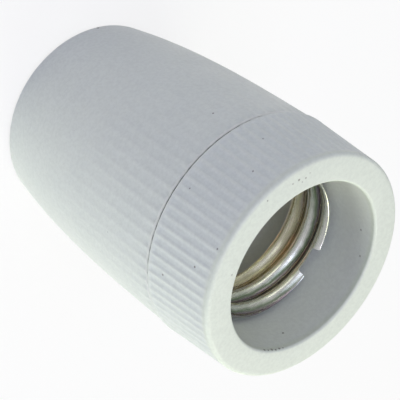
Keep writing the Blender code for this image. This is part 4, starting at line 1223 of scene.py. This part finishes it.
class LAMPHOLDER_OT_terminals(bpy.types.Operator):
    """Stamp the terminal plates and clamping washers and turn the slotted, threaded screws"""
    bl_idname = "lampholder.terminals"
    bl_label = "Terminals"

    def execute(self, context):
        sizes = context.scene.holder_metal
        for side, rivet_node in (("live", "centre_rivet"), ("neutral", "shell_rivet_neutral")):
            screw_place, rivet_place = node_centre(f"{side}_screw"), node_centre(rivet_node)
            turn = atan2(screw_place[1], screw_place[0])
            low, high = node_heights(f"{side}_terminal")
            form = bmesh.new()
            half = sizes.plate_width / 2
            for place in (screw_place, rivet_place):
                bmesh.ops.create_cone(
                    form, cap_ends=True, segments=48, radius1=half, radius2=half,
                    depth=high - low, matrix=Matrix.Translation((*place, (low + high) / 2)))
            hull = bmesh.ops.convex_hull(form, input=form.verts)
            for kind, found, context_name in (
                    (bmesh.types.BMVert, "geom_interior", "VERTS"),
                    (bmesh.types.BMFace, "geom_unused", "FACES")):
                spare = [item for item in hull[found] if isinstance(item, kind)]
                bmesh.ops.delete(form, geom=spare, context=context_name)
            bmesh.ops.dissolve_limit(
                form, angle_limit=radians(1), verts=form.verts, edges=form.edges)
            plate = softened(f"{side}_plate", form, (high - low) / 6)
            hole = sizes.screw_radius + SEAT_GAP
            plate = carve_mesh(f"{side}_plate", plate, [
                ("DIFFERENCE", round_bar(radius, low - CUT_MARGIN, high + CUT_MARGIN, place))
                for radius, place in (
                    (sizes.rivet_radius + SEAT_GAP, rivet_place), (hole, screw_place))])
            finish_piece(
                f"stamped_{side}_terminal", plate, "brass", "brass",
                "insert_body", f"{side}_terminal")

            low, high = node_heights(f"{side}_washer")
            square = square_bar(sizes.plate_width, sizes.plate_width, low, high)
            upright = [
                edge for edge in square.edges if edge.calc_length() < high - low + SAME_PLACE]
            bmesh.ops.bevel(
                square, geom=upright, affect="EDGES", offset=sizes.plate_width / 12, segments=5,
                profile=0.5, material=-1)
            washer = softened(
                f"{side}_clamp", move_form(square, (*screw_place, 0.0), turn), (high - low) / 6)
            washer = carve_mesh(f"{side}_clamp", washer, [("DIFFERENCE", round_bar(
                hole, low - CUT_MARGIN, high + CUT_MARGIN, screw_place))])
            finish_piece(
                f"stamped_{side}_washer", washer, "zinc", "zinc_steel",
                "insert_body", f"{side}_washer")

            low, high = node_heights(f"{side}_screw")
            head, shank, pitch = sizes.screw_head, sizes.screw_radius, sizes.screw_pitch
            seat, core = low + sizes.screw_height, shank - 0.6 * pitch
            edge = head / 7
            outline = [(0.0, low)] + arc(head - edge, low + edge, edge, -90, 0, 4)
            outline += [(head, seat), (core, seat), (core, high - pitch), (core / 2, high)]
            outline += [(0.0, high)]
            slot = square_bar(
                3 * head, sizes.screw_slot, low - CUT_MARGIN, low + sizes.screw_height / 2)
            screw = carve(f"{side}_screw", turned_form(outline, 64), [
                ("UNION", thread_ridge(core, shank, pitch, seat + pitch / 2, high - 1.5 * pitch)),
                ("DIFFERENCE", slot)])
            screw.transform(
                Matrix.Translation((*screw_place, 0.0)) @ Matrix.Rotation(turn, 4, "Z"))
            finish_piece(
                f"turned_{side}_screw", screw, "zinc", "zinc_steel",
                "insert_body", f"{side}_screw")
        return {"FINISHED"}


class LAMPHOLDER_OT_entry(bpy.types.Operator):
    """Turn the threaded entry bush and make its nut, washer and set screw"""
    bl_idname = "lampholder.entry"
    bl_label = "Entry Bush"

    def execute(self, context):
        sizes = context.scene.holder_metal
        pitch, edge = sizes.bush_pitch, sizes.bush_edge
        low, high = node_heights("entry_bush")
        seat = low + sizes.flange_sheet
        bore, body, flange = sizes.bush_bore, sizes.bush_body, sizes.bush_flange
        depth = 0.55 * pitch
        outline = arc(flange - edge, low + edge, edge, -90, 0, 4)
        outline += [(flange, seat - edge / 2), (flange - edge / 2, seat), (body, seat)]
        outline += [(body, high - edge), (body - edge, high), (bore + depth, high)]
        outline += [(bore, high - depth), (bore, low + depth), (bore + depth, low)]
        inside = thread_section(bore - depth / 3, bore + depth, pitch, 0.46, 0.07)
        outside = thread_section(body + depth / 3, body - depth, pitch, 0.46, 0.07)[::-1]
        set_low, set_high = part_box("tube_screw")
        level = (set_low.z + set_high.z) / 2
        cross = lay_form(round_bar(sizes.set_radius + SEAT_GAP, 0.0, body + CUT_MARGIN))
        bmesh.ops.translate(cross, verts=cross.verts, vec=(0.0, 0.0, level))
        bush = carve("turned_entry_bush", turned_form(outline, 96, closed=True), [
            ("DIFFERENCE", helical_form(
                inside, 0.0, low - pitch, pitch, (high - low) / pitch + 2, 48)),
            ("DIFFERENCE", helical_form(
                outside, 0.0, seat + pitch, pitch, (high - seat) / pitch, 48)),
            ("DIFFERENCE", cross)])
        finish_piece(
            "turned_entry_bush", bush, "zinc", "zinc_steel", "cap_body",
            "entry_bush")

        low, high = node_heights("bush_nut")
        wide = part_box("bush_nut")[1].y
        nut = bmesh.new()
        bmesh.ops.create_cone(
            nut, cap_ends=True, segments=6, radius1=wide, radius2=wide, depth=high - low,
            matrix=Matrix.Translation((0.0, 0.0, (low + high) / 2)))
        drop = wide * (1 - cos(pi / 6)) / sqrt(3)
        crown = turned_form([
            (0.0, low), (wide * cos(pi / 6), low), (wide, low + drop), (wide, high - drop),
            (wide * cos(pi / 6), high), (0.0, high)], 96)
        opening = body + SEAT_GAP
        hole = turned_form([
            (0.0, low - edge), (opening + 2 * edge, low - edge), (opening, low + edge),
            (opening, high - edge), (opening + 2 * edge, high + edge), (0.0, high + edge)], 96)
        mesh = carve("hexagon_nut", nut, [("INTERSECT", crown), ("DIFFERENCE", hole)])
        finish_piece(
            "hexagon_nut", mesh, "zinc", "zinc_steel", "cap_body", "bush_nut")

        flat_ring("bush_washer", opening, "cap_body")

        radius, fine = sizes.set_radius, sizes.screw_pitch
        core = radius - 0.5 * fine
        first, last = set_low.x, set_high.x
        shape = turned_form([
            (0.0, first), (core - fine / 3, first), (core, first + fine / 3),
            (core, last - fine / 3), (core - fine / 3, last), (0.0, last)], 48)
        slot = square_bar(4 * radius, sizes.screw_slot, last - radius, last + CUT_MARGIN)
        mesh = carve("slotted_set_screw", shape, [
            ("UNION", thread_ridge(core, radius, fine, first + fine, last - fine)),
            ("DIFFERENCE", slot)])
        mesh.transform(
            Matrix.Translation((0.0, 0.0, level)) @ Matrix.Rotation(pi / 2, 4, "Y"))
        finish_piece(
            "slotted_set_screw", mesh, "zinc", "zinc_steel", "cap_body",
            "tube_screw")
        return {"FINISHED"}


# Material, its colour's setting, roughness, stain's colour and share, size of the fine lines
METALS = (
    ("brass", "brass", 0.28, (0.48, 0.33, 0.16), 0.6, 0.00012),
    ("spring bronze", "bronze", 0.26, (0.50, 0.30, 0.20), 0.5, 0.00015),
    ("zinc", "zinc", 0.34, (0.46, 0.47, 0.48), 0.7, 0.0002))


class LAMPHOLDER_OT_finishes(bpy.types.Operator):
    """Build the porcelain and metal finishes"""
    bl_idname = "lampholder.finishes"
    bl_label = "Finishes"

    def execute(self, context):
        finishes = context.scene.holder_finishes
        sizes = context.scene.holder_porcelain
        effects = {
            "clouds": make_cloud_effect(), "specks": make_speck_effect(),
            "rub": make_rub_effect()}
        porcelain_material("glazed cap", finishes, effects, cap_spots(sizes))
        porcelain_material("glazed skirt", finishes, effects, skirt_spots(sizes))
        bisque_material("bare porcelain", finishes, effects)
        passivated_material("passivated steel", finishes, effects)
        for name, setting, *values in METALS:
            metal_material(name, getattr(finishes, setting), effects, *values)
        return {"FINISHED"}


# Azimuth from +X, elevation, width and height in metres of each lamp
LAMPS = (
    ("key", 45, 52, 0.40, 0.40), ("side", 3, 8, 0.50, 0.20), ("fill", -108, 68, 0.40, 0.20),
    ("front", -60, 72, 0.40, 0.20), ("back", 165, 62, 0.40, 0.40),
    ("strip", -130, 34, 0.60, 0.06))
LAMP_DISTANCE = 0.7
FLOOR_RADIUS, FLOOR_DROP = 1.6, 0.0001
# Camera's place and direction, fitted to the photograph's view
CAMERA_PLACE = (
    (-0.582973, -0.812492, 0.0, 0.00097415),
    (0.522342, -0.374787, -0.765959, -0.17893755),
    (0.622335, -0.446533, 0.642890, 0.18324337),
    (0.0, 0.0, 0.0, 1.0))
SENSOR_WIDTH, VIEW_START, VIEW_END = 36.0, 0.01, 20.0


def area_lamp(name, place, width, height, power, colour):
    """A panel lamp aimed at the holder's middle."""
    lamp = bpy.data.lights.new(name, "AREA")
    lamp.shape, lamp.size, lamp.size_y = "RECTANGLE", width, height
    lamp.energy, lamp.color = power, colour
    made = new_object(name, lamp)
    made.location = place
    aim = Vector((0.0, 0.0, SKIRT_HIGH / 2)) - place
    made.rotation_euler = aim.to_track_quat("-Z", "Y").to_euler()


def around(azimuth, elevation, distance):
    """A place at a distance from the holder's foot, angles in degrees."""
    turn, rise = radians(azimuth), radians(elevation)
    return Vector((cos(turn) * cos(rise), sin(turn) * cos(rise), sin(rise))) * distance


def mix_surface(tree, output, factor, first, second):
    """Mix two shaders into the output."""
    blend = tree.nodes.new("ShaderNodeMixShader")
    for index, value in enumerate((factor, first.outputs[0], second.outputs[0])):
        tree.links.new(value, blend.inputs[index])
    tree.links.new(blend.outputs[0], tree.nodes[output].inputs["Surface"])


class LAMPHOLDER_OT_stage(bpy.types.Operator):
    """Set the camera, the lamps, the floor and the light from all round"""
    bl_idname = "lampholder.stage"
    bl_label = "Stage"

    def execute(self, context):
        stage = context.scene.holder_stage
        camera_data = bpy.data.cameras.new("camera")
        camera_data.lens, camera_data.sensor_width = stage.lens, SENSOR_WIDTH
        camera_data.clip_start, camera_data.clip_end = VIEW_START, VIEW_END
        camera = new_object("camera", camera_data)
        camera.matrix_world = Matrix(CAMERA_PLACE)
        context.scene.camera = camera
        context.scene.view_settings.view_transform = "Standard"

        for name, azimuth, elevation, width, height in LAMPS:
            area_lamp(
                name, around(azimuth, elevation, LAMP_DISTANCE), width, height,
                getattr(stage, f"{name}_power"), getattr(stage, f"{name}_tint"))

        form = bmesh.new()
        bmesh.ops.create_circle(
            form, cap_ends=True, segments=96, radius=FLOOR_RADIUS,
            matrix=Matrix.Translation((0.0, 0.0, -FLOOR_DROP)))
        floor = new_object("floor", new_mesh("floor", form))
        made, tree, shader = new_material("floor")
        shader.inputs["Base Color"].default_value = (*stage.floor, 1.0)
        shader.inputs["Roughness"].default_value = 0.9
        path = tree.nodes.new("ShaderNodeLightPath").outputs
        seen = calculate(tree, "MAXIMUM", path["Is Camera Ray"], path["Is Glossy Ray"])
        seen = calculate(tree, "MAXIMUM", seen, path["Is Transmission Ray"])
        seen = calculate(tree, "MULTIPLY", seen, stage.floor_glow)
        white = tree.nodes.new("ShaderNodeEmission")
        mix_surface(tree, "Material Output", seen, shader, white)
        floor.data.materials.append(made)

        world = bpy.data.worlds.new("studio")
        world.use_nodes = True
        context.scene.world = world
        tree = world.node_tree
        path = tree.nodes.new("ShaderNodeLightPath").outputs
        seen = calculate(tree, "MAXIMUM", path["Is Camera Ray"], path["Is Transmission Ray"])
        mirrored = calculate(tree, "MULTIPLY", path["Is Glossy Ray"], stage.mirrored_sky)
        seen = calculate(tree, "MAXIMUM", seen, mirrored)
        sky = tree.nodes["Background"]
        sky.inputs["Color"].default_value = (*stage.sky, 1.0)
        backdrop = put(tree, "ShaderNodeBackground", Color=(1.0, 1.0, 1.0, 1.0))
        mix_surface(tree, "World Output", seen, sky, backdrop)
        return {"FINISHED"}


class LAMPHOLDER_PT_panel(bpy.types.Panel):
    """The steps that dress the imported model"""
    bl_idname = "LAMPHOLDER_PT_panel"
    bl_label = "Lamp Holder"
    bl_space_type = "VIEW_3D"
    bl_region_type = "UI"
    bl_category = "Lamp Holder"

    def draw(self, context):
        scene = context.scene
        for step in STEPS:
            self.layout.operator(step.bl_idname)
        for group in (
                scene.holder_porcelain, scene.holder_metal, scene.holder_finishes,
                scene.holder_stage):
            box = self.layout.box()
            for name in group.__annotations__:
                box.prop(group, name)


GROUPS = {
    "holder_porcelain": PorcelainSizes, "holder_metal": MetalSizes,
    "holder_finishes": HolderFinishes, "holder_stage": HolderStage}
STEPS = (
    LAMPHOLDER_OT_finishes, LAMPHOLDER_OT_cap, LAMPHOLDER_OT_skirt, LAMPHOLDER_OT_thread_shell,
    LAMPHOLDER_OT_insert, LAMPHOLDER_OT_contact, LAMPHOLDER_OT_rivets,
    LAMPHOLDER_OT_terminals, LAMPHOLDER_OT_entry, LAMPHOLDER_OT_stage)


def register():
    """Register the classes and add the settings to the scene."""
    for item in (*GROUPS.values(), *STEPS, LAMPHOLDER_PT_panel):
        bpy.utils.register_class(item)
    for name, group in GROUPS.items():
        setattr(bpy.types.Scene, name, PointerProperty(type=group))


def unregister():
    """Remove the settings and the classes."""
    for name in GROUPS:
        delattr(bpy.types.Scene, name)
    for item in reversed((*GROUPS.values(), *STEPS, LAMPHOLDER_PT_panel)):
        bpy.utils.unregister_class(item)


def main():
    """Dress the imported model."""
    register()
    bpy.ops.lampholder.finishes()
    bpy.ops.lampholder.cap()
    bpy.ops.lampholder.skirt()
    bpy.ops.lampholder.thread_shell()
    bpy.ops.lampholder.insert()
    bpy.ops.lampholder.contact()
    bpy.ops.lampholder.rivets()
    bpy.ops.lampholder.terminals()
    bpy.ops.lampholder.entry()
    bpy.ops.lampholder.stage()


if __name__ == "__main__":
    main()
